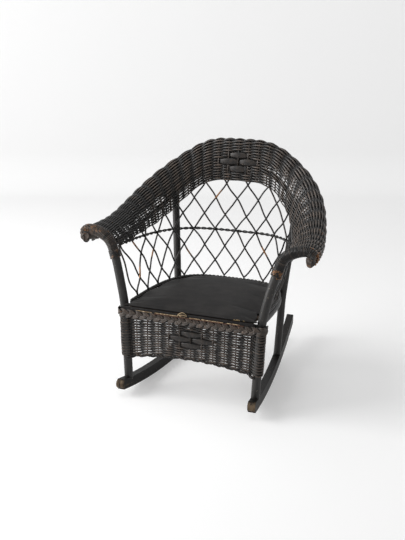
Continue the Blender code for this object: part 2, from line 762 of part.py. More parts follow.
def weave(first, last):
    """A closed woven band between two stakes. On each face every other crossing is a weaver's crest,
    and the faces fold along the low places, so that each crest is a long bar of its own."""
    inset = GAP / 2 / LOW.length
    stakes = list(range(first, last + 1))
    cols = len(stakes)
    grids = [[], []]
    for k in stakes:
        f = k / STAKES_HALF
        f += inset * (k == first > -STAKES_HALF) - inset * (k == last < STAKES_HALF)
        for j, v in enumerate(row_places(f)):
            for layer, face in enumerate((1, -1)):
                crest = (k + j) % 2 == layer
                grids[layer].append(roll_point(f, v, face * (ROLL_CREST if crest else ROLL_WEB)))
    count = cols * ROLL_ROWS
    faces = []
    for i in range(cols - 1):
        for j in range(ROLL_ROWS - 1):
            for layer in (0, 1):
                a = layer * count + i * ROLL_ROWS + j
                b, c, d = a + ROLL_ROWS, a + ROLL_ROWS + 1, a + 1
                if (stakes[i] + j) % 2 == layer:
                    faces += [(a, b, d), (b, c, d)]
                else:
                    faces += [(a, b, c), (a, c, d)]
    rim = [j for j in range(ROLL_ROWS)] + [i * ROLL_ROWS + ROLL_ROWS - 1 for i in range(1, cols)]
    rim += [(cols - 1) * ROLL_ROWS + j for j in range(ROLL_ROWS - 2, -1, -1)]
    rim += [i * ROLL_ROWS for i in range(cols - 2, 0, -1)]
    faces += [(a, b, count + b, count + a) for a, b in zip(rim, rim[1:] + rim[:1])]
    return grids[0] + grids[1], faces


def make_roll():
    """The woven roll in three lengths, the bent hoop inside it and the braid along its free edge."""
    for name, first, last in (("arm_roll_left", -STAKES_HALF, -SPLIT_STAKE),
                              ("back_roll", -SPLIT_STAKE, SPLIT_STAKE),
                              ("arm_roll_right", SPLIT_STAKE, STAKES_HALF)):
        add_piece(name, *weave(first, last), BLACK_REED)
    ends = 0.985
    places = [-ends] + [k / STAKES_HALF for k in range(1 - STAKES_HALF, STAKES_HALF)] + [ends]
    place("roll_hoop", bent_rod([hoop_point(f) for f in places], HOOP_R, 8), BLACK_WOOD)
    past = math.degrees((EDGE_R + LOOSE) / CURL_R) / CURL_DEG * 0.30
    edge = [roll_point(f, 1.0 + past) for f in places]
    radii = [EDGE_R * (0.6 if abs(f) == ends else 1.0) for f in places]
    place("roll_edge_braid", bent_rod(edge, radii, 8), BLACK_REED)


def skirt_low(x):
    """Lower edge of the skirt, arched in the middle."""
    return SKIRT_SIDE_Z + SKIRT_ARCH * (1 - (x / POST_FOOT_X) ** 2)


def post_at(z):
    """Centre of the right front post at this height, below the arm."""
    path = front_axis()[1]
    for p, q in zip(path, path[1:]):
        if p.z <= z <= q.z:
            return p.lerp(q, (z - p.z) / (q.z - p.z))
    return path[0] + (path[1] - path[0]) * ((z - path[0].z) / (path[1].z - path[0].z))


def make_skirt():
    """The woven front skirt, its lower edge, its turns round the two posts and its braid, whose strands
    slant one way above its middle and the other way below it."""
    top = RAIL_Z - RAIL_R - SKIRT_DROP
    cols, levels = 16, 6
    clear = POST_R * 1.03 + WRAP_T + 3 * GAP

    def panel(u, v):
        low = skirt_low(u * (POST_FOOT_X - clear)) + SKIRT_EDGE_R + GAP
        z = low + (top - low) * (v + 1) / 2
        post = post_at(z)
        return Vector((u * (post.x - clear), post.y, z))
    place("skirt_weave", sheet(panel, cols, levels, SKIRT_T), BLACK_REED)
    edge = []
    for k in range(cols + 1):
        share = 2 * k / cols - 1
        x = share * (POST_FOOT_X - clear)
        z = skirt_low(x)
        edge.append(Vector((share * (post_at(z).x - clear - GAP), post_at(z).y, z)))
    place("skirt_edge", bent_rod(edge, SKIRT_EDGE_R, 8), BLACK_REED)
    reach = POST_SEAT_X + POST_R
    braid_top = BOARD_Z - GAP
    back = post_at(braid_top - SKIRT_BRAID_H).y - POST_R - 2 * GAP
    lobes, middle = 24, 2
    plait = [[], []]
    for j in range(2 * middle + 1):
        z = braid_top - SKIRT_BRAID_H * (1 - j / middle / 2)
        line = [(reach * (2 * i / lobes - 1), (i + abs(j - middle)) % 3 > 0) for i in range(lobes + 1)]
        plait[0].append([Vector((x, back - SKIRT_BRAID_T + PLAIT_DEEP * low, z)) for x, low in line])
        plait[1].append([Vector((x, back, z)) for x, low in line])
    add_piece("skirt_braid", *slab(*plait), BLACK_REED)
    for side, sign in SIDES:
        low = skirt_low(POST_FOOT_X) - SKIRT_DROP
        pts = [post_at(low + (braid_top - SKIRT_BRAID_H - TURNS_CLEAR - low) * k / 4) for k in range(5)]
        place("skirt_turns_" + side, sleeve(mirrored(pts, sign), [POST_R] * 5, 14), BLACK_REED)


def make_splints():
    """Two diamonds of four broad flat splints, woven into the back of the roll and into the skirt."""
    places = ((0.0, 1), (-0.5, 0), (0.5, 0), (0.0, -1))
    span = SPLINT_W / LOW.length
    lift = -(ROLL_CREST + 2 * GAP + SPLINT_T / 2)
    step_v = SPLINT_STEP_Z / (ROLL_RISE_BACK / 0.66)
    half_v = SPLINT_H / 2 / (ROLL_RISE_BACK / 0.66)
    mid_z = (skirt_low(0.0) + RAIL_Z - RAIL_R) / 2
    for k, (dx, dz) in enumerate(places):
        def on_roll(u, v):
            return roll_point((dx * 1.06 + u / 2) * span, 0.30 + dz * step_v + half_v * v, lift)

        def on_skirt(u, v):
            z = mid_z + dz * SPLINT_STEP_Z + v * SPLINT_H / 2
            y = post_at(z).y - (SKIRT_T + SPLINT_T) / 2 - GAP
            return Vector(((dx * 1.06 + u / 2) * SPLINT_W, y, z))
        place("back_splint_%d" % (k + 1), sheet(on_roll, 6, 1, SPLINT_T), BLACK_REED)
        place("skirt_splint_%d" % (k + 1), sheet(on_skirt, 1, 1, SPLINT_T), BLACK_REED)


def centre_on_floor():
    """Moves the chair so that the middle of its whole box stands on the origin."""
    chair = bpy.data.objects["chair"]
    spots = [v.co for piece in chair.children for v in piece.data.vertices]
    low = [min(c[i] for c in spots) for i in range(3)]
    high = [max(c[i] for c in spots) for i in range(3)]
    chair.location = (-(low[0] + high[0]) / 2, -(low[1] + high[1]) / 2, -low[2])


def main():
    """Builds every piece."""
    clear_scene()
    for side, sign in SIDES:
        make_rocker("rocker_" + side, sign)
    make_posts()
    make_seat_frame()
    make_pad()
    make_border()
    make_lattice()
    make_roll()
    make_skirt()
    make_splints()
    centre_on_floor()


main()
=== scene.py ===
"""Looks for the child's wicker rocking chair: every reed, post and pad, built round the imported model."""

import json
import logging
import math
from dataclasses import asdict, dataclass, field
from enum import Enum
from typing import Callable

import bpy
import bmesh
import numpy as np
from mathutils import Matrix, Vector

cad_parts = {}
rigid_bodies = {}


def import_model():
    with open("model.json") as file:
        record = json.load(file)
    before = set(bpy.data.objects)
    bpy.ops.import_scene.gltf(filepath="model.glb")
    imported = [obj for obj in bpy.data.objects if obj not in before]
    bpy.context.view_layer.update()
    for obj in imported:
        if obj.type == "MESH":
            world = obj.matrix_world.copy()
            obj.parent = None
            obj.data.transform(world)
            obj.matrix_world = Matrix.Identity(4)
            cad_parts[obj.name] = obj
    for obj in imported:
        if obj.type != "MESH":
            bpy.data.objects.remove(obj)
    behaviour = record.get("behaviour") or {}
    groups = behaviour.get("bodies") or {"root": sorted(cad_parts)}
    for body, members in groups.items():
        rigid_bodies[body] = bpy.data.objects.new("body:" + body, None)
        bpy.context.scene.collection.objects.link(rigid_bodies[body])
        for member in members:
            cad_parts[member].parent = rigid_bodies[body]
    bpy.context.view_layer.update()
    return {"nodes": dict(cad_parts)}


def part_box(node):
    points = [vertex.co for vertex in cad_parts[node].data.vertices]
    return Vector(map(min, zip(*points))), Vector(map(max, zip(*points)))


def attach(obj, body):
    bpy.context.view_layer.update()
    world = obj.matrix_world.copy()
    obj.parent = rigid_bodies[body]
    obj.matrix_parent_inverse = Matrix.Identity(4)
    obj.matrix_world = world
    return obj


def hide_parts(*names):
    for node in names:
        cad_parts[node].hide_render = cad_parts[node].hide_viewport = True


for _item in list(bpy.data.objects):
    bpy.data.objects.remove(_item, do_unlink=True)
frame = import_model()

LOG = logging.getLogger("wicker_rocker")
MM = 0.001
BODY = "root"
TURN = 2 * math.pi
SEED = 7
TONE_RANGE = (-0.10, 0.18)  # how much thicker or thinner the paint on a reed is
END_SHRINK = 0.85  # radius of a rod's end, by the rod's own
BEVEL_DEG = 35.0  # edges sharper than this are rounded
FLAT_TOP = 1.7  # how steeply a strand of a plait dives under the next
STAYS_UP = 0.45  # how much longer it stays in front than behind

Points = np.ndarray


class Side(Enum):
    """The two mirrored halves of the chair."""

    LEFT = -1
    RIGHT = 1

    @property
    def word(self) -> str:
        """The side's name in a piece's name."""
        return self.name.lower()


class Slot(Enum):
    """The record's material slots, named for the kinds of piece."""

    WOOD = "painted_wood"
    REED = "painted_reed"
    CLOTH = "oilcloth"
    TOW = "stuffing"


@dataclass(frozen=True)
class ChairSizes:
    """Sizes of the chair as in the CAD source, in millimetres or shares; y is 0 at the front posts' feet."""

    gap: float = 0.3
    post_r: float = 11.0
    post_foot_x: float = 171.0
    post_seat_x: float = 180.0
    post_seat_y: float = 8.0
    post_tip_r: float = 7.0
    wrap_t: float = 2.5
    wrap_drop: float = 14.0
    taper_drop: float = 30.0
    neck_in: float = 1.0
    neck_drop: float = 8.0
    bow_x: float = 3.0
    bow_y: float = 1.5
    rear_r: float = 10.0
    rear_lean_x: float = 0.06
    rear_at: float = 0.37
    rear_clear: float = 1.0
    rocker_w: float = 20.0
    rocker_h: float = 27.0
    rocker_r: float = 1150.0
    rocker_contact_y: float = 178.0
    rocker_toe_y: float = -40.0
    rocker_tail_y: float = 500.0
    toe_back: float = 8.0
    toe_reach: float = 14.0
    notch: float = 3.0
    seat_half: float = 172.0
    seat_back_y: float = 328.0
    seat_power: float = 3.8
    seat_drop: float = 15.0
    rail_r: float = 8.0
    rail_z: float = 223.0
    board_t: float = 4.0
    border_r: float = 5.0
    pad_edge: float = 4.5
    pad_crown: float = 9.0
    pad_front_y: float = -13.0
    pad_clear: float = 4.0
    cover_t: float = 1.3
    row_h: float = 43.5
    diamonds_half: int = 7
    twine_row: int = 3
    stakes_half: int = 16
    roll_rows: int = 44
    roll_crest: float = 5.0
    roll_half: float = 214.0
    roll_back_y: float = 353.0
    roll_power: float = 3.2
    roll_front_y: float = 38.0
    arm_low_z: float = 370.0
    back_low_z: float = 500.0
    low_bend: float = 0.37
    roll_out_back: float = 18.0
    roll_out_arm: float = 66.0
    roll_out_corner: float = 10.0
    roll_rise_back: float = 106.0
    roll_rise_tip: float = 46.0
    corner_at: float = 0.45
    corner_span: float = 0.2
    rise_from: float = 0.35
    rise_span: float = 0.5
    curl_from: float = 0.70
    curl_r: float = 19.0
    curl_deg: float = 135.0
    hoop_r: float = 6.0
    hoop_v: float = 0.14
    edge_r: float = 5.0
    skirt_side_z: float = 97.0
    skirt_arch: float = 17.0
    skirt_braid_h: float = 24.0
    splint_h: float = 12.0
    splint_t: float = 1.2
    splint_step_z: float = 15.0


SIZES = ChairSizes()


class Outline:
    """Half of a U in plan, with points by share of its length from the back centre."""

    def __init__(self, half: float, back_y: float, power: float, front_y: float) -> None:
        """Samples the outline.

        Args:
            half: Half width at the front.
            back_y: Depth at the back centre.
            power: How square the rear corners are.
            front_y: Where the outline ends in front.
        """
        a = np.linspace(0.0, math.pi / 2, 401)
        x = half * np.sin(a) ** (2 / power)
        y = back_y * np.maximum(np.cos(a), 0.0) ** (2 / power)
        keep = y >= front_y
        self.x, self.y = x[keep], y[keep]
        self.run = np.concatenate([[0.0], np.cumsum(np.hypot(np.diff(self.x), np.diff(self.y)))])
        self.length = float(self.run[-1])

    def at(self, f: Points) -> Points:
        """Plan points at f, from -1 on the left front round to 1 on the right front.

        Args:
            f: Shares of the half outline.

        Returns:
            An array of x and y.
        """
        want = np.minimum(np.abs(f), 1.0) * self.length
        x, y = np.interp(want, self.run, self.x), np.interp(want, self.run, self.y)
        return np.stack([np.copysign(x, f), y], -1)

    def normal(self, f: Points) -> Points:
        """Outward directions in plan.

        Args:
            f: Shares of the half outline.

        Returns:
            An array of unit x and y.
        """
        step = 0.004
        along = self.at(np.minimum(f + step, 1.0)) - self.at(np.maximum(f - step, -1.0))
        along = along / np.linalg.norm(along, axis=-1, keepdims=True)
        return np.stack([-along[..., 1], along[..., 0]], -1)


def unit(v: Points) -> Points:
    """Vectors scaled to length 1."""
    return v / np.maximum(np.linalg.norm(v, axis=-1, keepdims=True), 1e-9)


def ease(t: Points) -> Points:
    """Goes smoothly from 0 to 1."""
    t = np.clip(t, 0.0, 1.0)
    return t * t * (3 - 2 * t)


class WickerForm:
    """The curved surfaces that the reeds follow: lattice, roll, skirt and posts."""

    def __init__(self, sizes: ChairSizes) -> None:
        """Sets out the seat's outline and the roll's lower edge.

        Args:
            sizes: The chair's sizes.
        """
        s = self.s = sizes
        self.scroll_y = s.roll_front_y - s.post_r - s.wrap_t - 4 * s.gap
        self.board_z = s.rail_z + s.rail_r + s.gap
        self.border_z = self.board_z + s.border_r
        self.lattice_z = self.border_z + s.border_r + s.gap
        self.seat = Outline(s.seat_half, s.seat_back_y, s.seat_power, s.post_seat_y + s.post_r + 0.5)
        self.low = Outline(s.roll_half, s.roll_back_y, s.roll_power, s.roll_front_y)
        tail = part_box("rocker_right")[1].y / MM
        self.shift_y = tail - s.rocker_tail_y
        self.foot, self.front_path = self._front_axis()
        self.rear_path = self._rear_axis()

    def metres(self, points: Points) -> Points:
        """Millimetre points in the source's place as metres in the row frame."""
        out = np.array(points, float)
        out[..., 1] += self.shift_y
        return out * MM

    def low_point(self, f: Points) -> Points:
        """Lower edge of the woven roll at f."""
        s = self.s
        z = s.arm_low_z + (s.back_low_z - s.arm_low_z) / (1 + (np.abs(f) / s.low_bend) ** 4)
        return np.concatenate([self.low.at(f), np.asarray(z)[..., None]], -1)

    def section(self, f: Points, v: Points) -> tuple[Points, Points]:
        """How far out and up from its lower edge the roll is.

        Args:
            f: Places round the U.
            v: Shares across the roll, 0 at its lower edge and 1 at its braid.

        Returns:
            The distances out and up.
        """
        s = self.s
        side = np.abs(f)
        out = s.roll_out_back + (s.roll_out_arm - s.roll_out_back) * ease(side)
        out = out + s.roll_out_corner * np.exp(-((side - s.corner_at) / s.corner_span) ** 2)
        lower = ease((side - s.rise_from) / s.rise_span)
        rise = s.roll_rise_back + (s.roll_rise_tip - s.roll_rise_back) * lower
        # a cubic, nearly upright at its foot and level at its top, and then the arc of the curl
        t = np.minimum(v, s.curl_from) / s.curl_from
        b1, b2, b3 = 3 * t * (1 - t) ** 2, 3 * t * t * (1 - t), t ** 3
        a = math.radians(s.curl_deg) * np.maximum(v - s.curl_from, 0.0) / (1 - s.curl_from)
        far = out * (0.06 * b1 + 0.50 * b2 + b3) + s.curl_r * np.sin(a)
        high = rise * (0.50 * b1 + b2 + b3) - s.curl_r * (1 - np.cos(a))
        return far, high

    def roll_plain(self, f: Points, v: Points) -> Points:
        """Points of the roll's middle surface."""
        f, v = np.broadcast_arrays(np.asarray(f, float), np.asarray(v, float))
        far, high = self.section(f, v)
        p = self.low_point(f).copy()
        p[..., :2] += self.low.normal(f) * far[..., None]
        p[..., 2] += high
        return p

    def roll(self, f: Points, v: Points, lift: Points = 0.0) -> Points:
        """Points lift millimetres outside the roll's middle surface."""
        f, v = np.broadcast_arrays(np.asarray(f, float), np.asarray(v, float))
        step, past_edge = 0.01, 1.3
        along = self.roll_plain(np.minimum(f + step, 1.0), v) - self.roll_plain(np.maximum(f - step, -1.0), v)
        across = (self.roll_plain(f, np.minimum(v + step, past_edge))
                  - self.roll_plain(f, np.maximum(v - step, 0.0)))
        return self.roll_plain(f, v) + unit(np.cross(across, along)) * np.asarray(lift)[..., None]

    def roll_shares(self, f: float, shares: Points) -> Points:
        """The v at which the roll has been crossed by these shares of its girth.

        Args:
            f: Place round the U.
            shares: Shares of the way from the lower edge to the braid.

        Returns:
            The matching v.
        """
        v = np.linspace(0.0, 1.0, 81)
        far, high = self.section(np.full_like(v, f), v)
        run = np.concatenate([[0.0], np.cumsum(np.hypot(np.diff(far), np.diff(high)))])
        return np.interp(np.asarray(shares) * run[-1], run, v)

    def drop(self, y: Points) -> Points:
        """How far the sloping seat has come down at y."""
        s = self.s
        return s.seat_drop * (y - s.post_seat_y) / (s.seat_back_y - s.post_seat_y)

    def base_z(self, f: Points) -> Points:
        """Height of the lattice's lower end at f."""
        return self.lattice_z - self.drop(self.seat.at(f)[..., 1])

    def lattice(self, f: Points, z: Points, lift: Points = 0.0) -> Points:
        """Points of the lattice at f and these heights, lift millimetres outside it."""
        def plain(ff: Points, zz: Points) -> Points:
            """The lattice's middle surface."""
            t = (zz - self.base_z(ff)) / (self.low_point(ff)[..., 2] - self.base_z(ff))
            plan = self.seat.at(ff) * (1 - t[..., None]) + self.low.at(ff) * t[..., None]
            return np.concatenate([plan, zz[..., None]], -1)
        f, z = np.broadcast_arrays(np.asarray(f, float), np.asarray(z, float))
        step = 0.005
        along = plain(np.minimum(f + step, 1.0), z) - plain(np.maximum(f - step, -1.0), z)
        up = plain(f, z + 1.0) - plain(f, z - 1.0)
        return plain(f, z) + unit(np.cross(up, along)) * np.asarray(lift)[..., None]

    def rocker_z(self, y: Points) -> Points:
        """Height of a rocker's running edge at y."""
        return (y - self.s.rocker_contact_y) ** 2 / (2 * self.s.rocker_r)

    def _front_axis(self) -> tuple[Points, Points]:
        """Foot and axis of the right front post up to the end of the arm scroll."""
        s = self.s
        foot = np.array([s.post_foot_x, 0.0, self.rocker_z(0.0) + s.rocker_h - s.notch])
        seat = np.array([s.post_seat_x, s.post_seat_y, s.rail_z])
        low = self.low_point(np.array(1.0))
        neck = np.array([low[0] - s.neck_in, self.scroll_y, low[2] - s.neck_drop])
        v = np.array([0.24, 0.42, 0.60, 0.74, 0.84])
        far, high = self.section(np.ones_like(v), v)
        scroll = np.stack([low[0] + far, np.full_like(v, self.scroll_y), low[2] + high], -1)
        mid = (seat + neck) / 2 + np.array([-s.bow_x, -s.bow_y, 0.0])
        return foot, smooth(np.vstack([foot, (foot + seat) / 2, seat, mid, neck, scroll]), 8)

    def _rear_axis(self) -> Points:
        """Axis of the right rear post."""
        s = self.s
        f = np.array(s.rear_at)
        seat = np.append(self.seat.at(f) + self.seat.normal(f) * (s.rail_r + s.rear_r + s.gap), 0.0)
        seat[2] = s.rail_z - self.drop(seat[1])
        foot = np.array([seat[0] - s.rear_lean_x * (seat[2] - s.rocker_h), seat[1], 0.0])
        foot[2] = self.rocker_z(foot[1]) + s.rocker_h - s.notch
        top = self.hoop(f) + np.append(self.low.normal(f) * (s.hoop_r + s.rear_r + s.rear_clear), 0.0)
        return smooth(np.vstack([foot, foot * 0.45 + seat * 0.55, seat, (seat + top) / 2, top]), 8)

    def hoop(self, f: Points) -> Points:
        """Centre of the bent hoop behind the lower edge of the roll."""
        s = self.s
        return self.roll(f, s.hoop_v, np.full(np.shape(f), s.roll_crest + s.hoop_r + 4 * s.gap))

    def post_at(self, z: float) -> Points:
        """Centre of the right front post at this height, below the arm."""
        low = self.front_path[: int(np.argmax(self.front_path[:, 2] > self.s.arm_low_z))]
        return np.array([np.interp(z, low[:, 2], low[:, i]) for i in range(2)] + [z])

    def skirt_low(self, x: Points) -> Points:
        """Lower edge of the skirt, arched in the middle."""
        s = self.s
        return s.skirt_side_z + s.skirt_arch * (1 - (x / s.post_foot_x) ** 2)


def smooth(points: Points, steps: int) -> Points:
    """Points along a smooth curve.

    Args:
        points: The points that it passes through.
        steps: Pieces between each two of them.

    Returns:
        The finer points.
    """
    p = np.vstack([2 * points[0] - points[1], points, 2 * points[-1] - points[-2]])
    t = np.linspace(0, 1, steps, endpoint=False)[:, None]
    out = []
    for a, b, c, d in zip(p, p[1:], p[2:], p[3:]):
        out.append(0.5 * (2 * b + (c - a) * t + (2 * a - 5 * b + 4 * c - d) * t ** 2
                          + (3 * b - a - 3 * c + d) * t ** 3))
    return np.vstack(out + [points[-1:]])


def flip(points: Points, side: Side) -> Points:
    """Right-hand points, mirrored for the left."""
    return points * np.array([side.value, 1.0, 1.0])


def linear(code: str) -> tuple[float, float, float, float]:
    """An sRGB hex colour as linear values.

    Args:
        code: Six hex digits.

    Returns:
        Red, green, blue and 1.
    """
    values = [int(code[i:i + 2], 16) / 255 for i in (0, 2, 4)]
    return tuple(c / 12.92 if c <= 0.04045 else ((c + 0.055) / 1.055) ** 2.4 for c in values) + (1.0,)


def add_node(tree: bpy.types.NodeTree, kind: str, settings: dict | None = None,
             links: dict | None = None) -> bpy.types.Node:
    """Adds one node with its settings and links.

    Args:
        tree: The node tree.
        kind: The node's type.
        settings: Attributes, or input values where the key names or numbers an input.
        links: Output sockets by the input's name or number.

    Returns:
        The node.
    """
    node = tree.nodes.new(kind)
    for key, value in (settings or {}).items():
        if isinstance(key, str) and hasattr(node, key):
            setattr(node, key, value)
        else:
            node.inputs[key].default_value = value
    for key, socket in (links or {}).items():
        tree.links.new(socket, node.inputs[key])
    return node


def open_finish(name: str) -> tuple[bpy.types.Material, bpy.types.NodeTree, bpy.types.Node]:
    """Starts a node material.

    Args:
        name: Its name.

    Returns:
        The material, its tree and a node that gives the place on the object.
    """
    mat = bpy.data.materials.new(name)
    mat.use_nodes = True
    return mat, mat.node_tree, add_node(mat.node_tree, "ShaderNodeTexCoord")


def close_finish(tree: bpy.types.NodeTree, skin: bpy.types.Node, bump: bpy.types.Node,
                 roughness: float, shine: float) -> None:
    """Joins a finish's colour and bump to its shader.

    Args:
        tree: The material's tree.
        skin: The node that mixes the colour.
        bump: The node that bends the normal.
        roughness: How matt the finish is.
        shine: How strongly it reflects.
    """
    shader = tree.nodes["Principled BSDF"]
    tree.links.new(skin.outputs[2], shader.inputs["Base Color"])
    tree.links.new(bump.outputs[0], shader.inputs["Normal"])
    shader.inputs["Roughness"].default_value = roughness
    shader.inputs["Specular IOR Level"].default_value = shine


def seen_rays(tree: bpy.types.NodeTree) -> bpy.types.NodeSocket:
    """A value that is 1 for rays that show the background and 0 for those that light the object.

    Args:
        tree: The node tree of the world or of the studio paper.

    Returns:
        The value's socket.
    """
    path = add_node(tree, "ShaderNodeLightPath")
    plain = add_node(tree, "ShaderNodeMath", {"operation": "MAXIMUM"},
                     {0: path.outputs["Is Camera Ray"], 1: path.outputs["Is Glossy Ray"]})
    return add_node(tree, "ShaderNodeMath", {"operation": "MAXIMUM"},
                    {0: plain.outputs[0], 1: path.outputs["Is Transmission Ray"]}).outputs[0]


@dataclass(frozen=True)
class PaintedReed:
    """Rattan reed under old black paint: satin, uneven, with tan reed bare on the high spots, and a painted
    highlight and painted shade on its weave.
    """

    name: str = "painted_reed"
    paint: str = "100e0d"
    # brown-grey of thin paint, which also gives the painted highlight on the crests of the weave
    thin_paint: str = "5c5047"
    bare: str = "a87444"
    roughness: float = 0.38
    shine: float = 0.40
    # how much lighter faces that stand out of the weave are painted, and how much darker those that turn into
    # it: painted highlight and painted shade
    crest: float = 0.34
    patch_mm: float = 9.0
    fibre_mm: float = 0.9

    def material(self) -> bpy.types.Material:
        """The finish as a node material that reads the wear and tone of each reed, and paints a highlight on
        faces that stand out of the weave and shade on those that turn into it.
        """
        mat, tree, place = open_finish(self.name)
        spot = place.outputs["Object"]
        wear = add_node(tree, "ShaderNodeAttribute", {"attribute_name": "wear"}).outputs["Fac"]
        own = add_node(tree, "ShaderNodeAttribute", {"attribute_name": "tone"}).outputs["Fac"]
        # how far each face turns along the way the reed stands out: painted highlight where it faces out of
        # the weave, painted shade where it faces in
        rise = add_node(tree, "ShaderNodeAttribute", {"attribute_name": "rise"}).outputs["Vector"]
        painted_facing_light = add_node(tree, "ShaderNodeVectorMath", {"operation": "DOT_PRODUCT"},
                         {0: place.outputs["Normal"], 1: rise}).outputs["Value"]
        tone = add_node(tree, "ShaderNodeMath", {"operation": "MULTIPLY_ADD", 1: self.crest},
                        {0: painted_facing_light, 2: own}).outputs[0]
        patch = add_node(tree, "ShaderNodeTexNoise", {"Scale": 1 / (self.patch_mm * MM), "Detail": 4.0,
                                                      "Roughness": 0.65}, {"Vector": spot}).outputs["Fac"]
        fibre = add_node(tree, "ShaderNodeTexNoise", {"Scale": 1 / (self.fibre_mm * MM), "Detail": 2.0},
                         {"Vector": spot}).outputs["Fac"]
        mixed = add_node(tree, "ShaderNodeMath", {"operation": "MULTIPLY_ADD", 1: 0.7}, {0: patch, 2: tone})
        # how thin the paint is, from the noise and from the tone with its painted highlight and shade
        thin = add_node(tree, "ShaderNodeMapRange", {"From Min": 0.40, "From Max": 0.95},
                        {"Value": mixed.outputs[0]})
        body = add_node(tree, "ShaderNodeMix", {"data_type": "RGBA", 6: linear(self.paint),
                                                7: linear(self.thin_paint)}, {0: thin.outputs[0]})
        edge = add_node(tree, "ShaderNodeMath", {"operation": "MULTIPLY_ADD", 1: 0.35}, {0: fibre, 2: patch})
        rubbed = add_node(tree, "ShaderNodeMath", {"operation": "ADD"}, {0: edge.outputs[0], 1: wear})
        mask = add_node(tree, "ShaderNodeMapRange", {"From Min": 1.02, "From Max": 1.16},
                        {"Value": rubbed.outputs[0]})
        skin = add_node(tree, "ShaderNodeMix", {"data_type": "RGBA", 7: linear(self.bare)},
                        {0: mask.outputs[0], 6: body.outputs[2]})
        bump = add_node(tree, "ShaderNodeBump", {"Strength": 0.25, "Distance": 0.4 * MM}, {"Height": fibre})
        close_finish(tree, skin, bump, self.roughness, self.shine)
        return mat


@dataclass(frozen=True)
class PaintedWood:
    """Turned and sawn hardwood under old black paint, chipped in specks and grey-brown where it is rubbed."""

    name: str = "painted_wood"
    paint: str = "1a1918"
    faded: str = "302d2b"
    shine: float = 0.40
    chip: str = "8f8474"
    rubbed: str = "6a5a48"
    roughness: float = 0.48
    grain_mm: float = 6.0
    speck_mm: float = 3.2

    def material(self) -> bpy.types.Material:
        """The finish as a node material that reads the wear of each piece."""
        mat, tree, place = open_finish(self.name)
        spot = place.outputs["Object"]
        wear = add_node(tree, "ShaderNodeAttribute", {"attribute_name": "wear"}).outputs["Fac"]
        long = add_node(tree, "ShaderNodeMapping", {"Scale": (1.0, 1.0, 0.18)}, {"Vector": spot}).outputs[0]
        grain = add_node(tree, "ShaderNodeTexNoise", {"Scale": 1 / (self.grain_mm * MM), "Detail": 5.0,
                                                      "Roughness": 0.6}, {"Vector": long}).outputs["Fac"]
        speck = add_node(tree, "ShaderNodeTexNoise", {"Scale": 1 / (self.speck_mm * MM), "Detail": 1.0},
                         {"Vector": spot}).outputs["Fac"]
        fade = add_node(tree, "ShaderNodeMapRange", {"From Min": 0.40, "From Max": 0.72}, {"Value": grain})
        body = add_node(tree, "ShaderNodeMix", {"data_type": "RGBA", 6: linear(self.paint),
                                                7: linear(self.faded)}, {0: fade.outputs[0]})
        nick = add_node(tree, "ShaderNodeMapRange", {"From Min": 0.735, "From Max": 0.78}, {"Value": speck})
        nicked = add_node(tree, "ShaderNodeMix", {"data_type": "RGBA", 7: linear(self.chip)},
                          {0: nick.outputs[0], 6: body.outputs[2]})
        rub = add_node(tree, "ShaderNodeMath", {"operation": "MULTIPLY_ADD", 1: 0.8}, {0: grain, 2: wear})
        mask = add_node(tree, "ShaderNodeMapRange", {"From Min": 0.92, "From Max": 1.16},
                        {"Value": rub.outputs[0]})
        skin = add_node(tree, "ShaderNodeMix", {"data_type": "RGBA", 7: linear(self.rubbed)},
                        {0: mask.outputs[0], 6: nicked.outputs[2]})
        bump = add_node(tree, "ShaderNodeBump", {"Strength": 0.3, "Distance": 0.5 * MM}, {"Height": grain})
        close_finish(tree, skin, bump, self.roughness, self.shine)
        return mat


@dataclass(frozen=True)
class Oilcloth:
    """Black oilcloth, dulled by use and dusty in patches, with a fine grain and bare cloth where torn."""

    name: str = "black_oilcloth"
    face: str = "131212"
    dusty: str = "242221"
    shine: float = 0.16
    cloth: str = "b39a72"
    roughness: float = 0.62
    patch_mm: float = 45.0
    grain_mm: float = 1.6
    dust_mm: float = 5.0

    def material(self) -> bpy.types.Material:
        """The finish as a node material that reads where the cover is torn."""
        mat, tree, place = open_finish(self.name)
        spot = place.outputs["Object"]
        torn = add_node(tree, "ShaderNodeAttribute", {"attribute_name": "wear"}).outputs["Fac"]
        patch = add_node(tree, "ShaderNodeTexNoise", {"Scale": 1 / (self.patch_mm * MM), "Detail": 5.0,
                                                      "Roughness": 0.6}, {"Vector": spot}).outputs["Fac"]
        grain = add_node(tree, "ShaderNodeTexVoronoi", {"Scale": 1 / (self.grain_mm * MM)}, {"Vector": spot})
        dust = add_node(tree, "ShaderNodeTexNoise", {"Scale": 1 / (self.dust_mm * MM), "Detail": 3.0},
                        {"Vector": spot}).outputs["Fac"]
        dull = add_node(tree, "ShaderNodeMapRange", {"From Min": 0.36, "From Max": 0.66}, {"Value": patch})
        body = add_node(tree, "ShaderNodeMix", {"data_type": "RGBA", 6: linear(self.face),
                                                7: linear(self.dusty)}, {0: dull.outputs[0]})
        fray = add_node(tree, "ShaderNodeMath", {"operation": "ADD"}, {0: dust, 1: torn})
        mask = add_node(tree, "ShaderNodeMapRange", {"From Min": 1.02, "From Max": 1.12},
                        {"Value": fray.outputs[0]})
        skin = add_node(tree, "ShaderNodeMix", {"data_type": "RGBA", 7: linear(self.cloth)},
                        {0: mask.outputs[0], 6: body.outputs[2]})
        bump = add_node(tree, "ShaderNodeBump", {"Strength": 0.25, "Distance": 0.3 * MM},
                        {"Height": grain.outputs["Distance"]})
        close_finish(tree, skin, bump, self.roughness, self.shine)
        return mat


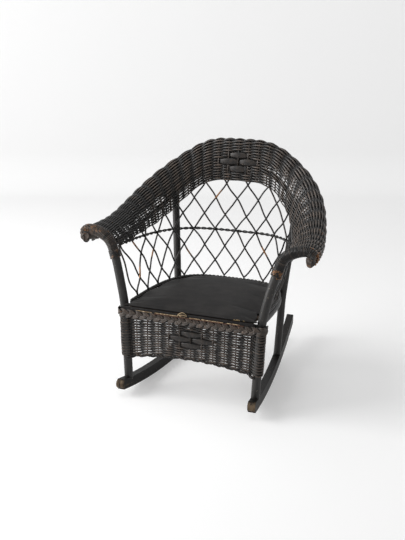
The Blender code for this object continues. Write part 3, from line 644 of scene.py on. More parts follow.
@dataclass(frozen=True)
class PlainFibre:
    """A dry, matt fibre surface with a streaky grain: unpainted softwood or torn cotton lining."""

    name: str
    light: str
    dark: str
    grain_mm: float
    stretch: tuple[float, float, float] = (1.0, 1.0, 1.0)
    roughness: float = 0.8
    shine: float = 0.5

    def material(self) -> bpy.types.Material:
        """The finish as a node material."""
        mat, tree, place = open_finish(self.name)
        spot = place.outputs["Object"]
        long = add_node(tree, "ShaderNodeMapping", {"Scale": self.stretch}, {"Vector": spot}).outputs[0]
        grain = add_node(tree, "ShaderNodeTexNoise", {"Scale": 1 / (self.grain_mm * MM), "Detail": 4.0},
                         {"Vector": long}).outputs["Fac"]
        span = add_node(tree, "ShaderNodeMapRange", {"From Min": 0.32, "From Max": 0.68}, {"Value": grain})
        skin = add_node(tree, "ShaderNodeMix", {"data_type": "RGBA", 6: linear(self.dark),
                                                7: linear(self.light)}, {0: span.outputs[0]})
        bump = add_node(tree, "ShaderNodeBump", {"Strength": 0.3, "Distance": 0.3 * MM}, {"Height": grain})
        close_finish(tree, skin, bump, self.roughness, self.shine)
        return mat


@dataclass
class Strand:
    """One reed's path in millimetres, with the wear, tone and girth along it and the way it stands out. The
    tone holds painted highlight and shade besides the reed's own shade, and the paint turns the way it stands
    out into painted highlight and shade.
    """

    points: Points
    wear: float | Points = 0.0
    tone: float | Points = 0.0
    girth: float | Points = 1.0
    rise: Points = field(default_factory=lambda: np.zeros(3))


@dataclass(frozen=True)
class Laid:
    """Reeds laid along their strands, in millimetres, wavering a little as hand work does."""

    reed_radius: float
    waver: float
    waver_length: float
    seed: float
    sides: int = 8


@dataclass(frozen=True)
class Wound:
    """Reeds wound round their strands, in millimetres."""

    reed_radius: float
    strands: int
    pitch: float
    step: float
    sides: int = 8


class ReedTree:
    """The node trees that turn wires into reeds and wind strands round a path."""

    def __init__(self) -> None:
        """Builds both trees."""
        self.lay = self._lay_tree()
        self.wind = self._wind_tree()

    @staticmethod
    def _start(name: str, inputs: tuple) -> tuple[bpy.types.NodeTree, bpy.types.Node]:
        """A new tree with a geometry input, the named inputs and a geometry output."""
        tree = bpy.data.node_groups.new(name, "GeometryNodeTree")
        tree.interface.new_socket("Geometry", in_out="INPUT", socket_type="NodeSocketGeometry")
        tree.interface.new_socket("Geometry", in_out="OUTPUT", socket_type="NodeSocketGeometry")
        for label, kind in inputs:
            tree.interface.new_socket(label, in_out="INPUT", socket_type="NodeSocket" + kind)
        return tree, add_node(tree, "NodeGroupInput")

    @staticmethod
    def _round(tree: bpy.types.NodeTree, source: bpy.types.Node, curve: bpy.types.NodeSocket) -> None:
        """Gives the curves their round girth and ends the tree."""
        girth = add_node(tree, "GeometryNodeInputNamedAttribute", {"data_type": "FLOAT", "Name": "girth"})
        ring = add_node(tree, "GeometryNodeCurvePrimitiveCircle", {"mode": "RADIUS"},
                        {"Resolution": source.outputs["Sides"], "Radius": source.outputs["Reed Radius"]})
        reed = add_node(tree, "GeometryNodeCurveToMesh", {"Fill Caps": True},
                        {"Curve": curve, "Profile Curve": ring.outputs["Curve"],
                         "Scale": girth.outputs["Attribute"]})
        even = add_node(tree, "GeometryNodeSetShadeSmooth", {}, {"Geometry": reed.outputs["Mesh"]})
        real = add_node(tree, "GeometryNodeRealizeInstances", {}, {"Geometry": even.outputs["Geometry"]})
        done = add_node(tree, "GeometryNodeSetMaterial", {},
                        {"Geometry": real.outputs["Geometry"], "Material": source.outputs["Finish"]})
        add_node(tree, "NodeGroupOutput", {}, {"Geometry": done.outputs["Geometry"]})

    def _lay_tree(self) -> bpy.types.NodeTree:
        """Lays a reed along every wire, a little out of true as hand work is."""
        tree, source = self._start("lay_reeds", (
            ("Reed Radius", "Float"), ("Sides", "Int"), ("Waver", "Float"), ("Waver Length", "Float"),
            ("Seed", "Float"), ("Finish", "Material")))
        curve = add_node(tree, "GeometryNodeMeshToCurve", {}, {"Mesh": source.outputs["Geometry"]})
        spot = add_node(tree, "GeometryNodeInputPosition")
        fine = add_node(tree, "ShaderNodeMath", {"operation": "DIVIDE", 0: 1.0},
                        {1: source.outputs["Waver Length"]})
        noise = add_node(tree, "ShaderNodeTexNoise", {"noise_dimensions": "4D", "Detail": 1.0},
                         {"Vector": spot.outputs[0], "W": source.outputs["Seed"], "Scale": fine.outputs[0]})
        even = add_node(tree, "ShaderNodeVectorMath", {"operation": "SUBTRACT", 1: (0.5, 0.5, 0.5)},
                        {0: noise.outputs["Color"]})
        move = add_node(tree, "ShaderNodeVectorMath", {"operation": "SCALE"},
                        {0: even.outputs[0], "Scale": source.outputs["Waver"]})
        moved = add_node(tree, "GeometryNodeSetPosition", {},
                         {"Geometry": curve.outputs["Curve"], "Offset": move.outputs[0]})
        self._round(tree, source, moved.outputs["Geometry"])
        return tree

    def _wind_tree(self) -> bpy.types.NodeTree:
        """Winds strands round every wire, as far out as the wire's girth of core says."""
        tree, source = self._start("wind_reeds", (
            ("Reed Radius", "Float"), ("Sides", "Int"), ("Strands", "Int"), ("Pitch", "Float"),
            ("Step", "Float"), ("Finish", "Material")))
        curve = add_node(tree, "GeometryNodeMeshToCurve", {}, {"Mesh": source.outputs["Geometry"]})
        fine = add_node(tree, "GeometryNodeResampleCurve", {"mode": "LENGTH"},
                        {"Curve": curve.outputs["Curve"], "Length": source.outputs["Step"]})
        copies = add_node(tree, "GeometryNodeDuplicateElements", {"domain": "SPLINE"},
                          {"Geometry": fine.outputs["Curve"], "Amount": source.outputs["Strands"]})
        along = add_node(tree, "GeometryNodeSplineParameter")
        turns = add_node(tree, "ShaderNodeMath", {"operation": "DIVIDE"},
                         {0: along.outputs["Length"], 1: source.outputs["Pitch"]})
        share = add_node(tree, "ShaderNodeMath", {"operation": "DIVIDE"},
                         {0: copies.outputs["Duplicate Index"], 1: source.outputs["Strands"]})
        both = add_node(tree, "ShaderNodeMath", {"operation": "ADD"},
                        {0: turns.outputs[0], 1: share.outputs[0]})
        angle = add_node(tree, "ShaderNodeMath", {"operation": "MULTIPLY", 1: TURN}, {0: both.outputs[0]})
        normal = add_node(tree, "GeometryNodeInputNormal").outputs["Normal"]
        tangent = add_node(tree, "GeometryNodeInputTangent").outputs["Tangent"]
        core = add_node(tree, "GeometryNodeInputNamedAttribute", {"data_type": "FLOAT", "Name": "core"})
        turned = add_node(tree, "ShaderNodeVectorRotate", {"rotation_type": "AXIS_ANGLE"},
                          {"Vector": normal, "Axis": tangent, "Angle": angle.outputs[0]})
        move = add_node(tree, "ShaderNodeVectorMath", {"operation": "SCALE"},
                        {0: turned.outputs[0], "Scale": core.outputs["Attribute"]})
        moved = add_node(tree, "GeometryNodeSetPosition", {},
                         {"Geometry": copies.outputs["Geometry"], "Offset": move.outputs[0]})
        self._round(tree, source, moved.outputs["Geometry"])
        return tree


class Workshop:
    """Holds the form, the finishes and the reed trees, and turns strands and meshes into pieces."""

    LENGTHS = ("Reed Radius", "Waver", "Waver Length", "Pitch", "Step")

    def __init__(self, form: WickerForm) -> None:
        """Makes the finishes.

        Args:
            form: The surfaces that everything follows.
        """
        self.form = form
        self.trees = ReedTree()
        self.reed = PaintedReed().material()
        self.wood = PaintedWood().material()
        # a darker, duller copy of the painted wood for the rockers: partly duller paint of their own, partly
        # painted shade for their shaded sides
        self.runner = PaintedWood(name="scuffed_painted_wood", paint="100f0e", faded="1b1816",
                                  shine=0.14).material()
        self.oilcloth = Oilcloth().material()
        self.lining = PlainFibre("torn_cotton_lining", light="dcc6a0", dark="8a6846", grain_mm=2.2).material()
        self.tow = PlainFibre("old_stuffing", light="5d3b28", dark="2e1d15", grain_mm=2.0).material()
        self.softwood = PlainFibre("old_softwood", light="5c4430", dark="3a2a1d", grain_mm=3.0,
                                   stretch=(0.12, 1.0, 1.0)).material()
        self.rng = np.random.default_rng(SEED)

    @staticmethod
    def _mark(mesh: bpy.types.Mesh, label: str, values: Points) -> None:
        """Stores a value at each of a mesh's points."""
        mark = mesh.attributes.new(label, "FLOAT", "POINT")
        mark.data.foreach_set("value", np.asarray(values, np.float32))

    def _finish(self, piece: bpy.types.Object, nodes: tuple) -> bpy.types.Object:
        """Puts a finished piece on the chair in place of its CAD nodes."""
        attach(piece, BODY)
        if nodes:
            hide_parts(*nodes)
        LOG.info("%s: %d faces, for %s", piece.name, len(piece.data.polygons), ", ".join(nodes) or "itself")
        return piece

    def piece(self, name: str, verts: Points, faces: list, material: bpy.types.Material, slot: Slot,
              nodes: tuple = (), wear: Points | None = None, rounds: float = 0.0,
              tone: float = 0.0) -> bpy.types.Object:
        """A piece from a plain mesh in millimetres.

        Args:
            name: The piece's name.
            verts: Its points.
            faces: Its faces.
            material: Its finish.
            slot: The record's slot; not used.
            nodes: The CAD nodes that it stands for.
            wear: How rubbed each point is.
            rounds: Radius of its rounded edges, or 0.
            tone: How thin its paint is.

        Returns:
            The piece.
        """
        mesh = bpy.data.meshes.new(name)
        mesh.from_pydata(self.form.metres(verts).tolist(), [], faces)
        work = bmesh.new()
        work.from_mesh(mesh)
        bmesh.ops.remove_doubles(work, verts=work.verts, dist=1e-6)
        bmesh.ops.recalc_face_normals(work, faces=work.faces)
        work.to_mesh(mesh)
        work.free()
        if wear is not None and len(wear) == len(mesh.vertices):
            self._mark(mesh, "wear", wear)
        if tone:
            self._mark(mesh, "tone", np.full(len(mesh.vertices), tone))
        mesh.materials.append(material)
        mesh.polygons.foreach_set("use_smooth", [True] * len(mesh.polygons))
        piece = bpy.data.objects.new(name, mesh)
        bpy.context.scene.collection.objects.link(piece)
        if rounds:
            bevel = piece.modifiers.new("worn_edges", "BEVEL")
            bevel.width, bevel.segments, bevel.limit_method = rounds * MM, 3, "ANGLE"
            bevel.angle_limit = math.radians(BEVEL_DEG)
            bevel.harden_normals = True
        return self._finish(piece, nodes)

    def reeds(self, name: str, strands: list[Strand], make: Laid | Wound, nodes: tuple = (),
              core: float | Points = 0.0, slot: Slot = Slot.REED,
              material: bpy.types.Material | None = None) -> bpy.types.Object:
        """A piece of reeds laid along the strands, or wound round them.

        Args:
            name: The piece's name.
            strands: The paths.
            make: How the reeds follow them.
            nodes: The CAD nodes that it stands for.
            core: For a winding, how far out it lies, all along or at each point.
            slot: The record's slot; not used.
            material: Its finish, painted reed unless given.

        Returns:
            The piece.
        """
        counts = [len(s.points) for s in strands]
        starts = np.concatenate([[0], np.cumsum(counts)[:-1]])
        verts = np.vstack([s.points for s in strands])
        edges = [(int(a) + i, int(a) + i + 1) for a, n in zip(starts, counts) for i in range(n - 1)]
        mesh = bpy.data.meshes.new(name)
        mesh.from_pydata(self.form.metres(verts).tolist(), edges, [])
        for label in ("wear", "tone", "girth"):
            self._mark(mesh, label, np.concatenate([np.broadcast_to(np.asarray(getattr(s, label), float), n)
                                                    for s, n in zip(strands, counts)]))
        rise = np.vstack([np.broadcast_to(s.rise, (n, 3)) for s, n in zip(strands, counts)])
        mark = mesh.attributes.new("rise", "FLOAT_VECTOR", "POINT")
        mark.data.foreach_set("vector", rise.astype(np.float32).ravel())
        if isinstance(make, Wound):
            self._mark(mesh, "core", np.ones(len(verts)) * core * MM)
        piece = bpy.data.objects.new(name, mesh)
        bpy.context.scene.collection.objects.link(piece)
        tree = self.trees.wind if isinstance(make, Wound) else self.trees.lay
        modifier = piece.modifiers.new("reeds", "NODES")
        modifier.node_group = tree
        given = {key.replace("_", " ").title(): value for key, value in asdict(make).items()}
        given["Finish"] = material or self.reed
        for item in tree.interface.items_tree:
            if item.in_out == "INPUT" and item.name in given:
                value = given[item.name]
                modifier[item.identifier] = float(value) * MM if item.name in self.LENGTHS else value
        graph = bpy.context.evaluated_depsgraph_get()
        made = bpy.data.meshes.new_from_object(piece.evaluated_get(graph))
        made.name = name
        piece.modifiers.clear()
        piece.data = made
        return self._finish(piece, nodes)

    def tone(self) -> float:
        """A reed's own shade, from the seeded draw."""
        return float(self.rng.uniform(*TONE_RANGE))


def rod(points: Points, radii: Points, count: int) -> tuple[Points, list]:
    """A closed round rod with slightly rounded ends.

    Args:
        points: Its axis.
        radii: Its radius at each point.
        count: Its sides.

    Returns:
        Points and faces.
    """
    radii = np.broadcast_to(np.asarray(radii, float), len(points))
    tangent = unit(np.gradient(points, axis=0))
    side = unit(np.cross(tangent[0], [0.3, 0.9, 0.2]))
    rings = []
    angles = np.linspace(0, TURN, count, endpoint=False)
    for p, t, r in zip(points, tangent, radii):
        side = unit(side - t * np.dot(side, t))
        other = np.cross(t, side)
        rings.append(p + r * (np.cos(angles)[:, None] * side + np.sin(angles)[:, None] * other))
    for end in (0, len(points) - 1):
        rings[end] = points[end] + (rings[end] - points[end]) * END_SHRINK
    faces = []
    for i in range(len(points) - 1):
        for k in range(count):
            a, b = i * count + k, i * count + (k + 1) % count
            faces.append((a, b, b + count, a + count))
    last = (len(points) - 1) * count
    faces += [tuple(range(count)), tuple(range(last, last + count))]
    return np.vstack(rings), faces


def grid_sheet(front: Points, back: Points) -> tuple[Points, list]:
    """A closed thin sheet between two grids of points.

    Args:
        front: Grid of points on one face.
        back: The same grid on the other face.

    Returns:
        Points and faces.
    """
    rows, cols = front.shape[:2]
    half = rows * cols
    faces = []
    for i in range(rows - 1):
        for j in range(cols - 1):
            a = i * cols + j
            b = half + a
            faces += [(a, a + 1, a + cols + 1, a + cols), (b, b + cols, b + cols + 1, b + 1)]
    rim = (list(range(cols)) + [i * cols + cols - 1 for i in range(1, rows)]
           + [(rows - 1) * cols + j for j in range(cols - 2, -1, -1)]
           + [i * cols for i in range(rows - 2, 0, -1)])
    faces += [(a, b, half + b, half + a) for a, b in zip(rim, rim[1:] + rim[:1])]
    return np.vstack([front.reshape(-1, 3), back.reshape(-1, 3)]), faces


@dataclass(frozen=True)
class Plait:
    """A plait of three strands, each of a few reeds side by side, in millimetres.

    A strand swings wide to each side in each period. It comes forward by deep as it leaves the edge, and
    a deep below 0 turns the chevrons round.
    """

    wide: float
    deep: float
    period: float
    reeds: int
    spacing: float
    strands: int = 3

    def paths(self, path: Points, across: Points, out: Points) -> list[tuple[Points, Points]]:
        """Lays the plait along a path.

        Args:
            path: Points along its middle.
            across: Direction over its width at each point.
            out: Direction off its face at each point.

        Returns:
            Path and standing-out direction of each reed, which the paint turns into painted highlight and
            shade.
        """
        run = np.concatenate([[0.0], np.cumsum(np.linalg.norm(np.diff(path, axis=0), axis=1))])
        ahead = unit(np.gradient(path, axis=0))
        made = []
        for k in range(self.strands):
            angle = TURN * (run / self.period + k / self.strands)
            swing = self.wide * np.sin(angle)
            slope = self.wide * np.cos(angle) * TURN / self.period
            lean = np.arctan(slope)[:, None]
            sideways = across * np.cos(lean) - ahead * np.sin(lean)
            # the strand stands out in front where it lies over and faces back where it dives under; this
            # direction gives its painted highlight and painted shade
            over = np.tanh(FLAT_TOP * (np.sin(2 * angle) * math.copysign(1.0, self.deep) + STAYS_UP))
            front = out * over[:, None]
            for i in range(self.reeds):
                shift = (i - (self.reeds - 1) / 2) * self.spacing
                spot = path + across * swing[:, None] + front * abs(self.deep) + sideways * shift
                made.append((spot, front))
        return made


@dataclass
class Assembly:
    """A sub-assembly of the chair that the workshop makes."""

    shop: Workshop

    @property
    def form(self) -> WickerForm:
        """The surfaces that it follows."""
        return self.shop.form

    @property
    def s(self) -> ChairSizes:
        """The chair's sizes."""
        return self.shop.form.s

    def build(self) -> None:
        """Makes its pieces."""
        raise NotImplementedError


@dataclass
class WoodFrame(Assembly):
    """Rockers, posts, seat frame and the hoop behind the roll."""

    post_sides: int = 28
    rail_sides: int = 18
    hoop_sides: int = 16
    hoop_end: float = 0.985
    foot_in: float = 6.0
    front_wear: float = 0.06
    rear_wear: float = 0.05
    rocker_round: float = 3.0
    rocker_wear: float = 0.0473
    toe_wear: float = 0.62
    toe_from: float = -18.0
    toe_span: float = 26.0

    def build(self) -> None:
        """Makes every wooden piece."""
        form, s = self.form, self.s
        for side in Side:
            self._rocker(side)
            path = self._footed(form.front_path)
            self._rod("front_post_wood_" + side.word, "front_post_" + side.word, flip(path, side),
                      self.radii(path), self.post_sides, self.front_wear)
            self._rod("rear_post_wood_" + side.word, "rear_post_" + side.word,
                      flip(self._footed(form.rear_path), side), s.rear_r, self.post_sides, self.rear_wear)
        self._seat_frame()
        f = np.linspace(-self.hoop_end, self.hoop_end, 120)
        self._rod("roll_hoop_wood", "roll_hoop", form.hoop(f), s.hoop_r, self.hoop_sides)
        for name in ("seat_slat_1", "seat_slat_2", "seat_board"):
            node = frame["nodes"][name]
            node.data.materials.clear()
            node.data.materials.append(self.shop.softwood)

    def _rod(self, name: str, node: str, path: Points, radii: float | Points, sides: int,
             wear: float | None = None) -> None:
        """A round rod of painted wood as one piece.

        Args:
            name: The piece's name.
            node: The CAD node that it stands for.
            path: Its axis.
            radii: Its radius, or one for each point.
            sides: How many sides it has.
            wear: How rubbed it is, if at all.
        """
        verts, faces = rod(path, radii, sides)
        rub = None if wear is None else np.full(len(verts), wear)
        self.shop.piece(name, verts, faces, self.shop.wood, Slot.WOOD, (node,), wear=rub)

    def _footed(self, path: Points) -> Points:
        """A post's axis with its foot let a little into the rocker."""
        down = unit(path[0] - path[1])
        return np.vstack([path[0] + down * self.foot_in, path])

    def _rocker(self, side: Side) -> None:
        """A sawn rocker with rounded edges and a worn toe."""
        form, s = self.form, self.s
        foot_f, foot_r = form.foot, form.rear_path[0]
        lean = (foot_r[0] - foot_f[0]) / (foot_r[1] - foot_f[1])
        y = np.linspace(s.rocker_toe_y, s.rocker_tail_y, 61)
        a = math.pi * (0.5 - np.arange(1, 12) / 12)
        toe_y = s.rocker_toe_y + s.toe_back - s.toe_reach * np.cos(a)
        toe_z = form.rocker_z(s.rocker_toe_y) + s.rocker_h / 2 + s.rocker_h * 0.49 * np.sin(a)
        side_y = np.concatenate([y, y[:0:-1], toe_y])
        side_z = np.concatenate([form.rocker_z(y), form.rocker_z(y[:0:-1]) + s.rocker_h, toe_z])
        n = len(side_y)
        middle = foot_f[0] + lean * side_y
        walls = [np.stack([middle + d * s.rocker_w / 2, side_y, side_z], -1) for d in (-1, 1)]
        verts = flip(np.vstack(walls), side)
        faces = [(k, (k + 1) % n, n + (k + 1) % n, n + k) for k in range(n)]
        faces += [tuple(range(n)), tuple(range(n, 2 * n))]
        rub = self.toe_wear * ease((self.toe_from - verts[:, 1]) / self.toe_span) + self.rocker_wear
        self.shop.piece("rocker_wood_" + side.word, verts, faces, self.shop.runner, Slot.WOOD,
                        ("rocker_" + side.word,), wear=rub, rounds=self.rocker_round)

    def radii(self, path: Points) -> Points:
        """Radius of a front post along its axis, tapering out along the arm."""
        s = self.s
        start = int(np.argmax(path[:, 2] > s.arm_low_z - s.taper_drop))
        t = np.clip((np.arange(len(path)) - start) / (len(path) - 1 - start), 0.0, 1.0)
        return s.post_r + (s.post_tip_r - s.post_r) * t

    def _seat_frame(self) -> None:
        """The rail bent round the seat and the straight one between the front posts."""
        form, s = self.form, self.s
        f = np.linspace(-1.0, 1.0, 110)
        plan = form.seat.at(f)
        path = np.column_stack([plan, s.rail_z - form.drop(plan[:, 1])])
        self._rod("bent_rail_wood", "seat_bent_rail", path, s.rail_r, self.rail_sides)
        reach = form.post_at(s.rail_z - s.rail_r)[0] - s.post_r - 2 * s.gap
        z = s.rail_z - form.drop(s.post_seat_y + s.rail_r)
        path = np.array([[x * reach, s.post_seat_y, z] for x in np.linspace(-1, 1, 7)])
        self._rod("front_rail_wood", "seat_front_rail", path, s.rail_r, self.rail_sides)


@dataclass
class Lattice(Assembly):
    """The open diamonds of single reeds, the pair twined round their middle and the twisted seat border."""

    reed: Laid = Laid(reed_radius=2.3, waver=16.0, waver_length=85.0, seed=3.0)
    over: float = 2.2
    bend_from: float = 0.925
    bend_span: float = 0.045
    foot_up: float = 2.5
    foot_down: float = 7.0
    plain_wear: float = -0.05
    rub_chance: float = 0.4
    rub_wear: float = 0.62
    rub_points: float = 9.0
    twine: Wound = Wound(reed_radius=2.0, strands=2, pitch=34.0, step=2.4)
    twine_core: float = 2.1
    twine_up: float = 3.0
    rope: Wound = Wound(reed_radius=3.0, strands=3, pitch=34.0, step=2.2)
    rope_core: float = 3.1
    rope_up: float = 1.5

    def build(self) -> None:
        """Makes the lattice, the twine and the border."""
        s, shop = self.s, self.shop
        strands = []
        column = 1.0 / (s.diamonds_half + 0.25)
        for way in (-1, 1):
            for c in range(-s.diamonds_half, s.diamonds_half):
                strand = self._strand(column * (c + 0.5), way, column)
                if strand is not None:
                    strands.append(strand)
        shop.reeds("lattice_reeds", strands, self.reed, ("lattice_left", "lattice_back", "lattice_right"))
        self._twine()
        self._border()

    def _bent(self, f: Points) -> Points:
        """Turns strands up along the front posts instead of past them."""
        far = np.abs(f)
        bent = self.bend_from + self.bend_span * np.tanh((far - self.bend_from) / self.bend_span)
        return np.copysign(np.where(far > self.bend_from, bent, far), f)

    def _strand(self, start: float, way: int, column: float) -> Strand | None:
        """One reed from the seat border up into the roll."""
        form, s = self.form, self.s
        r = np.linspace(0.0, 8.0, 161)
        f = self._bent(start + way * column * r / 2)
        z = form.base_z(f) + self.foot_up + s.row_h * r
        top = form.low_point(f)[:, 2]
        inside = z < top + 1.0
        stop = int(np.argmin(inside)) if not inside.all() else len(r) - 1
        if stop < 4:
            return None
        lift = way * self.over * np.cos(math.pi * r) * ease(r * 4)
        body = form.lattice(f[:stop], z[:stop], lift[:stop])
        foot = body[0] - np.array([0.0, 0.0, self.foot_down])
        # its upper end is tucked in behind the first rows of the roll
        v = np.array([0.04, 0.10, 0.18])
        turn = f[stop - 1] + way * column * np.array([0.02, 0.04, 0.045])
        head = form.roll(np.clip(turn, -0.985, 0.985), v)
        points = np.vstack([foot, body, head])
        rub = np.full(len(points), self.plain_wear)
        if self.shop.rng.uniform() < self.rub_chance:
            at = self.shop.rng.uniform(0.2, 0.9) * len(points)
            rub += self.rub_wear * np.exp(-((np.arange(len(points)) - at) / self.rub_points) ** 2)
        return Strand(points, rub, self.shop.tone())

    def _twine(self) -> None:
        """Two reeds twisted round each other along the third row of crossings."""
        form, s = self.form, self.s
        f = np.linspace(-0.90, 0.90, 260)
        z = form.base_z(f) + s.row_h * s.twine_row + self.twine_up
        z = np.minimum(z, form.low_point(f)[:, 2] - 2.0)
        path = form.lattice(f, z)
        self.shop.reeds("twined_reeds", [Strand(path, 0.05, 0.0)], self.twine,
                        ("twined_reed_inner", "twined_reed_outer"), self.twine_core)

    def _border(self) -> None:
        """Three reeds laid as a rope round the sides and back of the seat."""
        form = self.form
        f = np.linspace(-0.99, 0.99, 200)
        plan = form.seat.at(f)
        path = np.column_stack([plan, form.border_z + self.rope_up - form.drop(plan[:, 1])])
        self.shop.reeds("seat_border_reeds", [Strand(path, 0.10, 0.05)], self.rope, ("seat_border",),
                        self.rope_core)


@dataclass
class SplintDiamond:
    """Four broad splints set in a weave as a diamond, each over one stake and under those on either side."""

    shop: Workshop
    surface: Callable[[Points, Points, Points], Points]
    places: tuple = ((0, 1), (-1, 0), (1, 0), (0, -1))
    bulge: float = 4.6
    tuck: float = 0.9
    crown: float = 1.3
    waist: float = 0.58
    belly: float = 0.58
    end: float = 1.06
    shade_reach: float = 1.25
    shade_fade: float = 0.5
    shade_tall: float = 0.62
    pin: Laid = Laid(reed_radius=1.9, waver=0.0, waver_length=20.0, seed=1.0)
    pin_tall: float = 0.66
    pin_out: float = 1.0
    pin_bow: float = 1.8
    pin_tone: float = 0.30
    strip_tone: float = 0.12

    def cover(self, stake: Points, height: Points) -> Points:
        """How far the splints push a weaver back, from 0 to 1.

        Args:
            stake: Places counted in stakes from the middle.
            height: Heights over the diamond's middle.

        Returns:
            The shares, 1 behind a splint.
        """
        s = self.shop.form.s
        share = np.zeros(np.broadcast(stake, height).shape)
        for at, level in self.places:
            near = ease((self.shade_reach - np.abs(stake - at)) / self.shade_fade)
            level_with = np.abs(height - level * s.splint_step_z) < s.splint_h * self.shade_tall
            share = np.maximum(share, near * level_with)
        return share

    def build(self, name: str) -> None:
        """Makes the splints, and the short lengths of stake that hold their ends.

        Args:
            name: Start of the names of the pieces and of their CAD nodes.
        """
        s, shop = self.shop.form.s, self.shop
        pins = []
        along, over = np.meshgrid(np.linspace(-self.end, self.end, 21), np.linspace(-1, 1, 7), indexing="ij")
        arch = np.cos(np.clip(along, -1, 1) * math.pi / 2)
        half = s.splint_h / 2 * (self.waist + self.belly * arch)
        lift = self.bulge * arch ** 0.8 - self.tuck - self.crown * over ** 2 * arch
        bow = np.linspace(-1, 1, 9)
        for k, (at, level) in enumerate(self.places):
            height = level * s.splint_step_z + half * over
            faces = [self.surface(at + along, height, lift + d * s.splint_t / 2) for d in (1, -1)]
            shop.piece("%s_strip_%d" % (name, k + 1), *grid_sheet(*faces), shop.reed, Slot.REED,
                       ("%s_%d" % (name, k + 1),), tone=self.strip_tone)
            for end in (-1, 1):
                up = level * s.splint_step_z + bow * s.splint_h * self.pin_tall
                off = self.pin_out + self.pin_bow * np.cos(bow * math.pi / 2)
                line = self.surface(np.full_like(bow, at + end), up, off)
                pins.append(Strand(line, 0.0, self.pin_tone))
        shop.reeds(name + "_pins", pins, self.pin)


@dataclass(frozen=True)
class Knob:
    """The coiled end of an arm's plait: place off the curl's centre, half sizes, stem, wear and tone."""

    out: float
    up: float
    wide: float
    tall: float
    stem: float
    wear: float
    tone: float


@dataclass(frozen=True)
class ArmWear:
    """How rubbed and how grey an arm's winding is, and how rubbed the two thick turns at its end are."""

    rub: float
    tone: float
    binding: float


